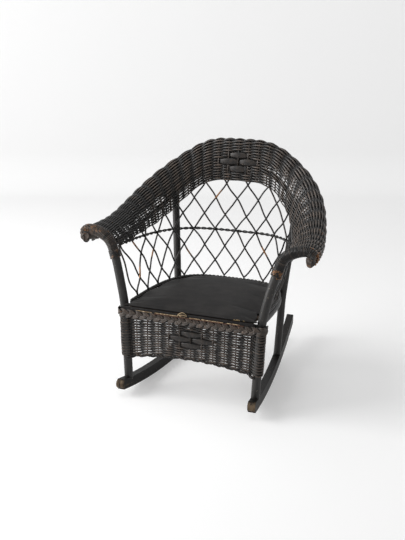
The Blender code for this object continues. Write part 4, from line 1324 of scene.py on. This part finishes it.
@dataclass
class WovenRoll(Assembly):
    """The wide roll over arms and back: stakes, weavers, splints, edge plait and arm windings."""

    per_stake: int = 6
    weaver: Laid = Laid(reed_radius=2.4, waver=1.5, waver_length=16.0, seed=11.0)
    stake_r: float = 1.9
    by_stake_r: float = 1.5
    swing: float = 3.3
    loose: float = 0.34
    pairing: float = 0.12
    # painted highlight on the weavers' crests and painted shade where they cross
    crest_tone: float = 0.12
    # painted shade that darkens the weavers over the left arm
    left_dark: float = 0.34
    base_dark: float = 0.04
    splint_v: float = 0.225
    splint_girth: float = 0.66
    by_from: float = -0.95
    by_to: float = -0.42
    by_high: float = 0.46
    edge_reed: Laid = Laid(reed_radius=1.55, waver=0.8, waver_length=14.0, seed=5.0)
    edge_plait: Plait = Plait(wide=3.0, deep=1.8, period=26.0, reeds=2, spacing=2.6)
    tip_reed: Laid = Laid(reed_radius=2.1, waver=0.8, waver_length=12.0, seed=8.0)
    tip_plait: Plait = Plait(wide=7.0, deep=2.4, period=40.0, reeds=4, spacing=3.0)
    tip_out: float = 3.4
    coil_plait: Plait = Plait(wide=3.2, deep=2.0, period=28.0, reeds=3, spacing=2.5)
    stem: Wound = Wound(reed_radius=1.6, strands=1, pitch=3.3, step=0.24, sides=6)
    winding: Wound = Wound(reed_radius=1.5, strands=1, pitch=3.2, step=0.22, sides=6)
    binding: Wound = Wound(reed_radius=1.9, strands=1, pitch=3.9, step=0.25, sides=7)
    arms: dict = field(default_factory=lambda: {Side.LEFT: ArmWear(rub=0.21, tone=0.22, binding=0.24),
                                                Side.RIGHT: ArmWear(rub=0.03, tone=0.04, binding=0.34)})
    knobs: dict = field(default_factory=lambda: {
        Side.LEFT: Knob(out=10.0, up=3.0, wide=10.5, tall=14.0, stem=36.0, wear=0.12, tone=0.26),
        Side.RIGHT: Knob(out=9.0, up=-5.0, wide=6.5, tall=8.0, stem=0.0, wear=0.24, tone=0.10)})

    def build(self) -> None:
        """Makes the roll's pieces."""
        s = self.s
        self.stake = 1.0 / s.stakes_half
        self.per_v = s.roll_rise_back / self.splint_girth
        splints = SplintDiamond(self.shop, lambda at, up, lift: self.form.roll(
            at * self.stake, self.splint_v + up / self.per_v, -lift))
        self._weave(splints)
        splints.build("back_splint")
        self._edge()
        for side in Side:
            self._tip(side)
            self._winding(side)

    def _weave(self, splints: SplintDiamond) -> None:
        """Weavers over one stake and under the next, and the stakes themselves."""
        form, s, shop = self.form, self.s, self.shop
        count = 2 * s.stakes_half * self.per_stake
        f = np.linspace(-1.0, 1.0, count + 1)
        step = np.arange(count + 1) / self.per_stake
        shares = np.arange(s.roll_rows) / (s.roll_rows - 1)
        v = np.stack([form.roll_shares(x, shares) for x in f])
        pitch = np.gradient(v, axis=1)
        strands = []
        for j in range(s.roll_rows):
            behind = splints.cover(f / self.stake, (v[:, j] - self.splint_v) * self.per_v)
            lift = self.swing * (np.cos(math.pi * (step + j)) * (1 - behind) + behind)
            slack = self._slack(f, v[:, j])
            # tone: the weaver's own random tone, a painted highlight on its crests and painted shade where it
            # crosses, painted shade over the left arm, and a little darker all over
            high = shop.tone() + self.crest_tone * ((lift / self.swing) ** 2 - 0.35)
            high = high - self.left_dark * ease((-f - 0.5) / 0.25) - self.base_dark
            row = v[:, j] + self.pairing * (-1) ** j * pitch[:, j] * slack * ease((-f - 0.4) / 0.1)
            # the way the weaver stands out, which the paint turns into painted highlight and shade
            rise = (form.roll(f, row, np.ones_like(f)) - form.roll(f, row)) * (lift / self.swing)[:, None]
            strands.append(Strand(form.roll(f, row, lift), self._rub(f, row, lift), high,
                                  1 - self.loose * slack, rise))
        # the stakes are painted 0.2 darker, and the short extra stakes on the left arm 0.1 darker: painted
        # shade, as they sit back in the weave
        for k in range(-s.stakes_half + 1, s.stakes_half):
            line = form.roll_shares(k * self.stake, np.linspace(0.0, 1.0, 40))
            strands.append(Strand(form.roll(np.full_like(line, k * self.stake), line), -0.2,
                                  shop.tone() - 0.2, self.stake_r / self.weaver.reed_radius))
        for f_at in np.arange(self.by_from, self.by_to, self.stake / 3):
            line = form.roll_shares(f_at, np.linspace(0.0, self.by_high, 14))
            strands.append(Strand(form.roll(np.full_like(line, f_at), line), -0.2,
                                  shop.tone() - 0.1, self.by_stake_r / self.weaver.reed_radius))
        shop.reeds("roll_reeds", strands, self.weaver, ("arm_roll_left", "back_roll", "arm_roll_right"))

    @staticmethod
    def _slack(f: Points, v: Points) -> Points:
        """How loose the weave is, from 0 to 1: only low down, and higher up on the left arm."""
        reach = 0.20 + 0.17 * ease((-f - 0.35) / 0.2) + 0.12 * ease(f / 0.3)
        return ease((reach - v) / 0.1) * ease((np.abs(f) - 0.1) / 0.15)

    @staticmethod
    def _rub(f: Points, v: Points, lift: Points) -> Points:
        """Where the paint is rubbed: the lower edge, the outer side of the arms, and most of all the tips."""
        side = np.abs(f)
        edge = 0.16 * np.exp(-(v / 0.05) ** 2)
        outer = (0.12 + 0.04 * np.sign(f)) * ease((side - 0.45) / 0.25) * ease((v - 0.62) / 0.2)
        tips = (0.12 + 0.08 * np.sign(f)) * ease((side - 0.93) / 0.05)
        return edge + outer + tips + 0.03 * np.abs(lift)

    def _edge(self) -> None:
        """The plaited outer edge of the roll."""
        form, s, shop = self.form, self.s, self.shop
        past = math.degrees((s.edge_r + 0.5) / s.curl_r) / s.curl_deg * (1 - s.curl_from)
        f = np.linspace(-0.985, 0.985, 640)
        path = form.roll(f, 1.0 + past)
        across = unit(path - form.roll(f, 1.0 + past * 0.5))
        out = unit(np.cross(across, np.gradient(path, axis=0)))
        rub = 0.10 + 0.1 * ease((np.abs(f) - 0.90) / 0.08)
        # each reed carries its standing-out direction, for the painted highlight and shade
        strands = [Strand(p, rub, shop.tone(), 1.0, up) for p, up in self.edge_plait.paths(path, across, out)]
        shop.reeds("roll_edge_plait", strands, self.edge_reed, ("roll_edge_braid",))

    def _tip(self, side: Side) -> None:
        """The thick plait over the front of the curl, coiled at its end into a knob."""
        form, s, shop = self.form, self.s, self.shop
        knob = self.knobs[side]
        v = np.linspace(0.66, 1.02, 50)
        far, high = form.section(np.ones_like(v), v)
        low = form.low_point(np.array(1.0))
        path = np.column_stack([low[0] + far, np.full_like(v, form.scroll_y + 1.0), low[2] + high])
        across = np.tile([0.0, 1.0, 0.0], (len(v), 1))
        out = unit(np.cross(across, unit(np.gradient(path, axis=0))))
        fit = np.interp(v, [0.66, 0.76, 0.96, 1.02], [0.35, 1.0, 1.0, 0.6])[:, None]
        # the plait and its coil carry their standing-out directions, for the painted highlight and shade
        strands = [Strand(flip(p + out * self.tip_out * fit, side), knob.wear, knob.tone, 1.0, flip(up, side))
                   for p, up in self.tip_plait.paths(path, across * fit, out)]
        far, high = form.section(np.array(1.0), np.array(s.curl_from))
        middle = np.array([low[0] + far + knob.out, form.scroll_y - 3.0, low[2] + high - s.curl_r + knob.up])
        a = np.linspace(-0.35, 2.3, 120) * math.pi
        shrink = np.linspace(1.0, 0.20, len(a))[:, None]
        spoke = np.column_stack([knob.wide * np.sin(a), np.zeros_like(a), knob.tall * np.cos(a)]) * shrink
        coil = middle + spoke + np.array([0.0, -4.0, 0.0]) * (1 - shrink)
        facing = np.tile([0.0, -1.0, 0.0], (len(a), 1))
        strands += [Strand(flip(p, side), knob.wear, knob.tone + shop.tone(), 1.0, flip(up, side))
                    for p, up in self.coil_plait.paths(coil, unit(spoke), facing)]
        depth = np.linspace(1.0, 24.0, 7)
        girth = knob.wide / self.tip_reed.reed_radius * np.sin(np.linspace(0.5, 2.6, len(depth)))
        for lean in (-0.8, 0.8):
            up = np.full_like(depth, lean * (knob.tall - knob.wide))
            core = middle + np.column_stack([np.zeros_like(depth), depth, up])
            strands.append(Strand(flip(core, side), -0.2, 0.0, girth))
        shop.reeds("arm_tip_plait_" + side.word, strands, self.tip_reed)
        if knob.stem:
            self._stem(side, middle)

    def _stem(self, side: Side, middle: Points) -> None:
        """The short winding behind a knob.

        Args:
            side: The arm that it is on.
            middle: The knob's centre on the right-hand side.
        """
        stem = self.knobs[side].stem
        reach = np.linspace(-stem, 4.0, 12)
        line = middle + np.column_stack([reach, np.full_like(reach, 9.0), -1.0 - 0.06 * reach])
        core = np.interp(reach, [-stem, 7 - stem, 0.0, 4.0], [1.0, 9.5, 11.5, 9.0])
        self.shop.reeds("arm_tip_winding_" + side.word, [Strand(flip(line, side), 0.20, 0.25)], self.stem,
                        core=core)

    def _winding(self, side: Side) -> None:
        """Reed wound round the front of an arm, ending in two thicker turns."""
        form, s, shop = self.form, self.s, self.shop
        path = form.front_path
        first = int(np.argmax(path[:, 2] > s.arm_low_z - s.wrap_drop))
        part, thick = path[first:], WoodFrame(shop).radii(path)[first:]
        run = np.linspace(0.0, 1.0, 4 * len(part))
        whole = np.linspace(0.0, 1.0, len(part))
        part = np.column_stack([np.interp(run, whole, part[:, i]) for i in range(3)])
        thick = np.interp(run, whole, thick)
        worn = self.arms[side]
        rub = worn.rub + 0.12 * ease((run - 0.2) / 0.6)
        shade = worn.tone + np.repeat(shop.rng.normal(0.0, 0.14, len(whole)), 4)
        shop.reeds("arm_winding_" + side.word, [Strand(flip(part, side), rub, shade)], self.winding,
                   ("arm_wrap_" + side.word,), thick + self.winding.reed_radius * 0.8 + 2.6 * ease(run / 0.5))
        band = path[first - 1:first + 3]
        shop.reeds("arm_binding_" + side.word, [Strand(flip(band, side), worn.binding, 0.1)], self.binding,
                   core=s.post_r + 1.7)


@dataclass
class Skirt(Assembly):
    """The woven front panel: stakes, one long weaver, splints, plaited top and twisted lower rim."""

    stakes_half: int = 6
    rows: int = 30
    per_stake: int = 6
    weaver: Laid = Laid(reed_radius=2.15, waver=1.6, waver_length=14.0, seed=23.0)
    stake_r: float = 1.6
    tucked: float = 3.0
    post_points: int = 30
    swing: float = 2.3
    # painted highlight on the crests of the weave and painted shade where the weaver crosses
    crest_tone: float = 0.15
    side_gap: float = 4.4
    top_plait: Plait = Plait(wide=7.0, deep=-2.0, period=57.0, reeds=3, spacing=2.9)
    plait_out: float = 7.6
    plait_tone: float = 0.16
    plait_reed: Laid = Laid(reed_radius=1.5, waver=1.0, waver_length=15.0, seed=2.0)
    rim: Wound = Wound(reed_radius=2.0, strands=3, pitch=34.0, step=2.2)
    rim_core: float = 2.3
    rim_wave: float = 1.2

    def build(self) -> None:
        """Makes the skirt's pieces."""
        form, s = self.form, self.s
        self.mid_z = (float(form.skirt_low(np.array(0.0))) + s.rail_z - s.rail_r) / 2
        self.stake = form.post_at(self.mid_z)[0] / self.stakes_half
        splints = SplintDiamond(self.shop, self._front)
        self._weave(splints)
        splints.build("skirt_splint")
        self._plait()
        self._rim()

    def _front(self, stake: Points, height: Points, lift: Points) -> Points:
        """A point in front of the skirt, by stakes from the middle and height over the diamond's middle."""
        z = self.mid_z + np.asarray(height)
        return np.stack(np.broadcast_arrays(stake * self.stake, self.post_y(z) - lift, z), -1)

    def post_y(self, z: Points) -> Points:
        """Where the posts' centres are at these heights, which the skirt follows."""
        low = self.form.front_path[:self.post_points]
        return np.interp(z, low[:, 2], low[:, 1])

    def _level(self, x: Points, share: float | Points) -> Points:
        """Height of a row at x, by its share from the lower edge up to the plait."""
        form, s = self.form, self.s
        low = form.skirt_low(x) + self.tucked
        top = form.board_z - s.gap - s.skirt_braid_h + self.tucked
        return low + (top - low) * share

    def _weave(self, splints: SplintDiamond) -> None:
        """One weaver that runs to and fro, round each post and back, with the stakes that it holds to."""
        form, s, shop = self.form, self.s, self.shop
        strands = []
        count = 2 * self.stakes_half * self.per_stake
        step = np.arange(count + 1) / self.per_stake - self.stakes_half
        around = s.post_r + self.weaver.reed_radius
        end = self.per_stake // 3
        a = np.linspace(0.12, 0.62, 6) * math.pi
        # a middling painted light for the bends round the posts
        turned = np.full_like(a, 0.3)
        for j in range(self.rows):
            share = (j + 0.5) / self.rows
            post = form.post_at(float(self._level(np.array(s.post_foot_x), share)))
            x = step / self.stakes_half * post[0]
            z = self._level(x, share)
            behind = splints.cover(x / self.stake, z - self.mid_z)
            face = np.cos(math.pi * (step + j)) * (1 - behind) - behind
            swell = self.swing + (around - self.swing) * ease((np.abs(step) - self.stakes_half + 0.8) / 0.5)
            points = np.column_stack([x, self.post_y(z) - face * swell, z])[end:-end]
            # the way each part stands out, which the paint turns into painted highlight and shade
            rise = np.outer(face, [0.0, -1.0, 0.0])[end:-end]
            for way, start in ((-1, face[0]), (1, face[-1])):
                lean = np.column_stack([way * np.sin(a), -start * np.cos(a), np.zeros_like(a)])
                bend = post * np.array([way, 1.0, 1.0]) + around * lean
                bend[:, 2] += 0.5 * start * np.linspace(0, 1, len(a))
                points = np.vstack([bend[::-1], points]) if way < 0 else np.vstack([points, bend])
                rise = np.vstack([lean[::-1], rise]) if way < 0 else np.vstack([rise, lean])
            rub = 0.04 + 0.12 * ease((np.abs(points[:, 0]) - 150) / 25.0) + 0.1 * (shop.rng.uniform() < 0.25)
            # painted highlight on the crests and painted shade where the weaver crosses, on top of its own
            # random tone
            high = np.concatenate([turned, (face ** 2)[end:-end], turned])
            strands.append(Strand(points, rub, shop.tone() + self.crest_tone * (high - 0.35),
                                  shop.rng.uniform(0.86, 1.04), rise))
        for k in range(-self.stakes_half + 1, self.stakes_half):
            share = np.linspace(-0.03, 1.0, 12)
            x = np.full_like(share, self.stake * k)
            z = self._level(x, share)
            strands.append(Strand(np.column_stack([x, self.post_y(z), z]), -0.1, shop.tone(),
                                  self.stake_r / self.weaver.reed_radius))
        for way in (-1, 1):
            z = self._level(np.array(way * s.post_foot_x), np.linspace(0.0, 1.0, 12))
            beside = np.array([form.post_at(float(h)) for h in z]) * np.array([way, 1.0, 1.0])
            for place in range(3):
                aside = beside - np.array([way * (s.post_r + self.stake_r + self.side_gap * place), 0.0, 0.0])
                strands.append(Strand(aside, -0.1, shop.tone()))
        shop.reeds("skirt_reeds", strands, self.weaver,
                   ("skirt_weave", "skirt_turns_left", "skirt_turns_right"))

    def _plait(self) -> None:
        """The broad plait along the top of the skirt, its ends turned back round the posts."""
        form, s, shop = self.form, self.s, self.shop
        mid = form.board_z - s.gap - s.skirt_braid_h / 2
        post = form.post_at(mid)
        reach = post[0] + s.post_r * 0.2
        round_r = s.post_r + self.plait_out
        line = np.linspace(-reach, reach, 260)
        front = np.column_stack([line, np.full_like(line, post[1] - round_r), np.full_like(line, mid)])
        a = np.linspace(0.05, 0.55, 22) * math.pi
        right = np.column_stack([reach + (round_r - self.top_plait.wide) * np.sin(a),
                                 post[1] - round_r * np.cos(a), np.full_like(a, mid)])
        path = np.vstack([flip(right, Side.LEFT)[::-1], front, right])
        ahead = unit(np.gradient(path, axis=0))
        across = np.tile([0.0, 0.0, 1.0], (len(path), 1))
        out = unit(np.cross(ahead, across))
        rub = 0.12 + 0.10 * np.sin(path[:, 0] / 17.0)
        # the plait's painted highlight and shade at 0.7 of full strength
        strands = [Strand(p, rub, self.plait_tone + shop.tone(), 1.0, up * 0.7)
                   for p, up in self.top_plait.paths(path, across, out)]
        shop.reeds("skirt_plait", strands, self.plait_reed, ("skirt_braid",))

    def _rim(self) -> None:
        """The wavy lower rim, arched between the posts and worn to the reed in places."""
        form, s, shop = self.form, self.s, self.shop
        x = np.linspace(-1.0, 1.0, 240) * (s.post_foot_x - 2.0)
        z = form.skirt_low(x) + self.rim_wave * np.cos(TURN * x / self.stake)
        y = self.post_y(z) - (s.post_r + 2.0) * ease((np.abs(x) - s.post_foot_x + 22.0) / 20.0)
        rub = 0.14 + 0.12 * np.sin(x / 23.0 + 1.0)
        shop.reeds("skirt_rim", [Strand(np.column_stack([x, y, z]), rub, 0.1)], self.rim, ("skirt_edge",),
                   self.rim_core)


@dataclass(frozen=True)
class TornStrip:
    """A ragged strip of torn cloth along the pad's front.

    Its ends are shares of half the front's width. Its level is in steps up from the pad's edge, and below 0
    is under it.
    """

    name: str
    start: float
    stop: float
    tall: float
    level: float
    ragged: float


@dataclass
class SeatPad(Assembly):
    """The oilcloth pad, swelled by a cloth simulation, with its torn front edge."""

    voxel_mm: float = 5.0
    cap_mm: float = 4.0
    held_mm: float = 2.5
    pressure: float = 4.0
    frames: int = 20
    grow: float = 1.6
    crown_less: float = 1.5
    corner_out: float = 3.0
    ear: float = 9.0
    strip_step: float = 1.6
    strip_out: float = 1.7
    strip_thick: float = 0.5
    level_step: float = 3.2
    curl: Laid = Laid(reed_radius=0.9, waver=1.0, waver_length=6.0, seed=4.0, sides=6)

    def build(self) -> None:
        """Makes the pad and the torn lining along its front."""
        pad = self._pad()
        self._torn_edge()

    def _rim(self, grow: float) -> Points:
        """Plan outline of the pad, grown outward by this much."""
        s = self.s
        inset = s.border_r + s.cover_t + 2 * s.gap
        half, back = s.seat_half - inset + grow, s.seat_back_y - inset + grow
        narrow = min(s.post_seat_x - s.post_r - s.cover_t - s.pad_clear, s.seat_half - inset)
        narrow += grow + self.corner_out
        front = s.pad_front_y + s.cover_t - grow
        a = math.pi * (np.arange(81) / 80 - 0.5)
        x = np.copysign(np.abs(np.sin(a)) ** (2 / s.seat_power), a) * half
        y = np.abs(np.cos(a)) ** (2 / s.seat_power) * back
        keep = y > s.post_seat_y + s.post_r + 3 * s.pad_clear
        body = np.column_stack([x[keep], y[keep]])
        corner = np.array([[narrow * 0.995, s.post_seat_y + s.post_r], [narrow * 0.99, -2.0],
                           [narrow + self.ear, front + 2 * s.pad_clear], [narrow + self.ear, front]])
        line = narrow * np.linspace(0.9, -0.9, 41)
        edge = np.column_stack([line, np.full_like(line, front)])
        return np.vstack([body, corner, edge, corner[::-1] * np.array([-1.0, 1.0])])

    def _pad(self) -> bpy.types.Object:
        """The crowned pad, blown up a little by cloth pressure and smoothed."""
        form, s, shop = self.form, self.s, self.shop
        rim = self._rim(s.cover_t * 0.4 + self.grow)
        centre = np.array([0.0, s.seat_back_y * 0.46])
        base = form.board_z + s.board_t + s.gap
        layers = [(0.996, 0.3), (1.0, s.pad_edge * 0.55), (0.992, s.pad_edge * 0.9), (0.965, s.pad_edge)]
        crown = s.pad_crown - self.crown_less
        layers += [(t, s.pad_edge + crown * (1 - t ** 2.4)) for t in (0.9, 0.78, 0.6, 0.4, 0.2)]
        n = len(rim)
        verts, faces = [], []
        for share, up in layers:
            plan = centre + (rim - centre) * share
            verts.append(np.column_stack([plan, base + up + s.cover_t - form.drop(plan[:, 1])]))
        verts.append(np.array([[*centre, base + s.pad_edge + crown + s.cover_t - form.drop(centre[1])]]))
        for a in range(0, (len(layers) - 1) * n, n):
            b = a + n
            faces += [(a + k, a + (k + 1) % n, b + (k + 1) % n, b + k) for k in range(n)]
        last = (len(layers) - 1) * n
        faces += [(last + k, last + (k + 1) % n, len(layers) * n) for k in range(n)] + [tuple(range(n))]
        pad = shop.piece("oilcloth_pad", np.vstack(verts), faces, shop.oilcloth, Slot.CLOTH,
                         ("seat_cover", "seat_stuffing"))
        self._swell(pad)
        self._mark_wear(pad)
        fine = pad.modifiers.new("fine", "SUBSURF")
        fine.levels = fine.render_levels = 1
        return pad

    def _swell(self, pad: bpy.types.Object) -> None:
        """Runs cloth under pressure, and keeps each point within the cap of where it was."""
        scene = bpy.context.scene
        remesh = pad.modifiers.new("even", "REMESH")
        remesh.mode, remesh.voxel_size = "VOXEL", self.voxel_mm * MM
        self._apply(pad)
        before = np.empty(len(pad.data.vertices) * 3)
        pad.data.vertices.foreach_get("co", before)
        held = pad.vertex_groups.new(name="held")
        low = before.reshape(-1, 3)
        form, s = self.form, self.s
        floor = (form.board_z + s.board_t) * MM
        for i, p in enumerate(low):
            if p[2] < floor + self.held_mm * MM - form.drop(p[1] / MM - form.shift_y) * MM:
                held.add([i], 1.0, "REPLACE")
        cloth = pad.modifiers.new("cloth", "CLOTH")
        cloth.settings.use_pressure = True
        cloth.settings.uniform_pressure_force = self.pressure
        cloth.settings.effector_weights.gravity = 0.0
        cloth.settings.vertex_group_mass = held.name
        cloth.settings.quality = 5
        cloth.point_cache.frame_start, cloth.point_cache.frame_end = 1, self.frames
        for step in range(1, self.frames + 1):
            scene.frame_set(step)
        self._apply(pad)
        scene.frame_set(1)
        after = np.empty(len(pad.data.vertices) * 3)
        pad.data.vertices.foreach_get("co", after)
        move = (after - before).reshape(-1, 3)
        far = np.linalg.norm(move, axis=1, keepdims=True)
        move *= np.minimum(1.0, self.cap_mm * MM / np.maximum(far, 1e-9))
        pad.data.vertices.foreach_set("co", (before.reshape(-1, 3) + move).ravel())
        pad.data.update()

    @staticmethod
    def _apply(piece: bpy.types.Object) -> None:
        """Turns a piece's modifiers into its mesh."""
        graph = bpy.context.evaluated_depsgraph_get()
        made = bpy.data.meshes.new_from_object(piece.evaluated_get(graph))
        piece.modifiers.clear()
        piece.data = made

    def _mark_wear(self, pad: bpy.types.Object) -> None:
        """Marks the front edge of the pad as torn, so that its cloth shows there."""
        form, s = self.form, self.s
        co = np.empty(len(pad.data.vertices) * 3)
        pad.data.vertices.foreach_get("co", co)
        p = co.reshape(-1, 3) / MM
        y, x = p[:, 1] - form.shift_y, p[:, 0]
        edge = ease((s.pad_front_y + 7.0 - y) / 6.0)
        torn = edge * (0.24 + 0.16 * np.sin(x / 23.0 + 2.0) + 0.10 * ease((x - 10.0) / 60.0))
        mark = pad.data.attributes.get("wear") or pad.data.attributes.new("wear", "FLOAT", "POINT")
        mark.data.foreach_set("value", torn.astype(np.float32))
        pad.data.polygons.foreach_set("use_smooth", [True] * len(pad.data.polygons))

    def _torn_edge(self) -> None:
        """The torn front edge: dark stuffing under a ragged line of lining, and one lifted curl."""
        shop = self.shop
        self._strip(TornStrip("cover_fold", -1.08, 1.08, 8.6, -0.9, 0.05), shop.oilcloth, Slot.CLOTH)
        self._strip(TornStrip("torn_stuffing", -0.56, 0.92, 2.8, -2.6, 0.3), shop.tow, Slot.TOW)
        for strip in (TornStrip("torn_lining_left", -0.88, -0.60, 1.2, -1.9, 0.7),
                      TornStrip("torn_lining_middle", -0.56, -0.04, 1.4, -1.8, 0.7),
                      TornStrip("torn_lining_right", 0.03, 0.86, 1.7, -2.0, 0.8)):
            self._strip(strip, shop.lining, Slot.CLOTH)
        self._curl()

    def _curl(self) -> None:
        """A curl of lining that stands up from the torn edge, as a loop over a flatter one."""
        s, shop = self.s, self.shop
        run = np.linspace(0.0, 1.0, 31)
        arch = np.sin(math.pi * run)
        x = -26.0 + 24.0 * run
        y = s.pad_front_y - 3.0 - 3.0 * arch
        z = self._edge_z() - 5.0 + 11.0 * arch ** 0.7 * (0.6 + 0.5 * run)
        loop = np.column_stack([x, y, z])
        under = np.column_stack([x, y, z * 0.35 + z[0] * 0.65])
        shop.reeds("torn_curl", [Strand(loop, 0.0, 0.0, 0.5 + 0.5 * arch), Strand(under)], self.curl,
                   slot=Slot.CLOTH, material=shop.lining)

    def _edge_z(self) -> float:
        """Height of the pad's front edge."""
        form, s = self.form, self.s
        return form.board_z + s.board_t + s.gap + s.pad_edge * 0.62 - float(form.drop(s.pad_front_y))

    def _strip(self, strip: TornStrip, finish: bpy.types.Material, slot: Slot) -> None:
        """One ragged strip of torn cloth along the pad's front.

        Args:
            strip: Its name and sizes.
            finish: Its material.
            slot: The record's slot.
        """
        s = self.s
        half = s.post_seat_x - s.post_r - 3 * s.pad_clear
        rng = np.random.default_rng(len(strip.name))
        x = np.arange(strip.start * half, strip.stop * half, self.strip_step)
        rag = np.convolve(rng.uniform(0.0, 1.0, len(x) + 2), np.ones(3) / 3, "valid")
        width = strip.tall * (1 - strip.ragged + strip.ragged * rag * 1.6)
        y = s.pad_front_y - self.strip_out - 1.2 * rag * abs(strip.level)
        z = self._edge_z() + self.level_step * (strip.level - 0.5) + 0.6 * rag
        front = np.stack([np.column_stack([x, y, z + width * share]) for share in np.linspace(0.5, -0.5, 4)])
        verts, faces = grid_sheet(front, front + np.array([0.0, self.strip_thick, 0.0]))
        self.shop.piece(strip.name, verts, faces, finish, slot)


@dataclass(frozen=True)
class Lamp:
    """A square soft lamp that points at the chair, in metres and watts."""

    name: str
    place: tuple[float, float, float]
    size: float
    watts: float


@dataclass
class Studio:
    """A pale floor, soft light and a camera where the photograph was taken from."""

    lens_px: float = 803.0
    sensor_mm: float = 36.0
    image: tuple[int, int] = (405, 540)
    yaw_deg: float = 21.09
    pitch_deg: float = 18.00
    place: tuple[float, float, float] = (0.688, -1.925, 0.944)
    floor_white: str = "d8d8d8"
    wall_white: str = "959595"
    # the paper's painted glow, on the floor and at the wall: it lightens the cast shadows on the paper and
    # evens out the lamps' fall-off, and only the camera and reflections see it
    lift: float = 0.38
    wall_lift: float = 0.63
    fill: float = 0.24
    backdrop: float = 0.80
    cove: float = 0.20
    wall_far: float = 4.35
    wall_half: float = 30.0
    floor_long: float = 12.0
    shade_from: float = 0.3
    lamp_aim: tuple[float, float, float] = (0.0, 0.0, 0.25)
    lamps: tuple[Lamp, ...] = (Lamp("window_lamp", (-2.9, -1.3, 1.5), 2.2, 150.0),
                               Lamp("ceiling_lamp", (-0.4, 0.2, 3.2), 3.0, 36.0))

    def build(self) -> None:
        """Sets up stage, lights and camera."""
        self._floor()
        self._world()
        self._lamps()
        self._camera()
        bpy.context.scene.view_settings.view_transform = "Standard"

    def _floor(self) -> None:
        """A wide pale floor that turns up in a small cove into the wall behind it, square to the view."""
        yaw = math.radians(self.yaw_deg)
        ahead, aside = Vector((-math.sin(yaw), math.cos(yaw), 0)), Vector((math.cos(yaw), math.sin(yaw), 0))
        joint = Vector((self.place[0], self.place[1], 0.0)) + ahead * self.wall_far
        r = self.cove
        arc = [(r * (math.sin(a) - 1), r * (1 - math.cos(a))) for a in np.linspace(0, math.pi / 2, 25)]
        flat, upright = [(-self.floor_long, 0.0), (-r - 0.02, 0.0)], [(0.0, r + 0.02), (0.0, self.floor_long)]
        profile = flat + arc + upright
        verts = [joint + ahead * d + Vector((0, 0, z)) + aside * way * self.wall_half
                 for d, z in profile for way in (-1, 1)]
        faces = [(2 * i, 2 * i + 1, 2 * i + 3, 2 * i + 2) for i in range(len(profile) - 1)]
        mesh = bpy.data.meshes.new("studio_floor")
        mesh.from_pydata(verts, [], faces)
        mesh.materials.append(self._paper(ahead, ahead.dot(joint)))
        mesh.polygons.foreach_set("use_smooth", [True] * len(faces))
        sheet = bpy.data.objects.new("studio_floor", mesh)
        bpy.context.scene.collection.objects.link(sheet)

    def _paper(self, ahead: Vector, far: float) -> bpy.types.Material:
        """White paper that is a little greyer towards the wall, with a painted glow, shown to the camera and
        in reflections, that lightens its shadows and grows brighter towards the wall.

        Args:
            ahead: The level direction towards the wall.
            far: How far ahead the wall is.

        Returns:
            The material.
        """
        paper, tree, place = open_finish("studio_paper")
        shader = tree.nodes["Principled BSDF"]
        deep = add_node(tree, "ShaderNodeVectorMath", {"operation": "DOT_PRODUCT", 1: ahead},
                        {0: place.outputs["Object"]}).outputs["Value"]
        back = add_node(tree, "ShaderNodeMapRange", {"From Min": self.shade_from, "From Max": far},
                        {"Value": deep})
        white = add_node(tree, "ShaderNodeMix", {"data_type": "RGBA", 6: linear(self.floor_white),
                                                 7: linear(self.wall_white)}, {0: back.outputs[0]})
        # painted light: the glow of the paper, growing towards the wall
        glow = add_node(tree, "ShaderNodeMapRange", {"To Min": self.lift, "To Max": self.wall_lift},
                        {"Value": back.outputs[0]})
        tree.links.new(white.outputs[2], shader.inputs["Base Color"])
        shown = add_node(tree, "ShaderNodeMath", {"operation": "MULTIPLY"},
                         {0: glow.outputs[0], 1: seen_rays(tree)})
        tree.links.new(shown.outputs[0], shader.inputs["Emission Strength"])
        shader.inputs["Roughness"].default_value = 0.8
        shader.inputs["Specular IOR Level"].default_value = 0.1
        shader.inputs["Emission Color"].default_value = (1.0, 1.0, 1.0, 1.0)
        return paper

    def _world(self) -> None:
        """White surroundings: plain white to the camera, soft light to the object."""
        world = bpy.data.worlds.new("studio_world")
        bpy.context.scene.world = world
        world.use_nodes = True
        tree = world.node_tree
        back = tree.nodes["Background"]
        level = add_node(tree, "ShaderNodeMapRange", {"To Min": self.fill, "To Max": self.backdrop},
                         {"Value": seen_rays(tree)})
        tree.links.new(level.outputs[0], back.inputs["Strength"])
        back.inputs["Color"].default_value = (1.0, 1.0, 1.0, 1.0)

    def _lamps(self) -> None:
        """A broad window on the left and a wide soft light overhead."""
        for lamp in self.lamps:
            light = bpy.data.lights.new(lamp.name, "AREA")
            light.energy, light.size = lamp.watts, lamp.size
            item = bpy.data.objects.new(lamp.name, light)
            item.location = lamp.place
            ahead = Vector(self.lamp_aim) - Vector(lamp.place)
            item.rotation_euler = ahead.to_track_quat("-Z", "Y").to_euler()
            bpy.context.scene.collection.objects.link(item)

    def _camera(self) -> None:
        """The camera fitted to the photograph."""
        data = bpy.data.cameras.new("photo_camera")
        data.sensor_fit = "VERTICAL"
        data.sensor_height = self.sensor_mm
        data.lens = self.lens_px * data.sensor_height / self.image[1]
        camera = bpy.data.objects.new("photo_camera", data)
        camera.location = self.place
        camera.rotation_euler = (math.radians(90.0 - self.pitch_deg), 0.0, math.radians(self.yaw_deg))
        bpy.context.scene.collection.objects.link(camera)
        bpy.context.scene.camera = camera


def main() -> None:
    """Builds the studio and every sub-assembly."""
    logging.basicConfig(level=logging.INFO, format="%(name)s %(message)s")
    Studio().build()
    shop = Workshop(WickerForm(SIZES))
    for assembly in (WoodFrame(shop), Lattice(shop), WovenRoll(shop), Skirt(shop), SeatPad(shop)):
        assembly.build()
        LOG.info("%s done", type(assembly).__name__)


if __name__ == "__main__":
    main()
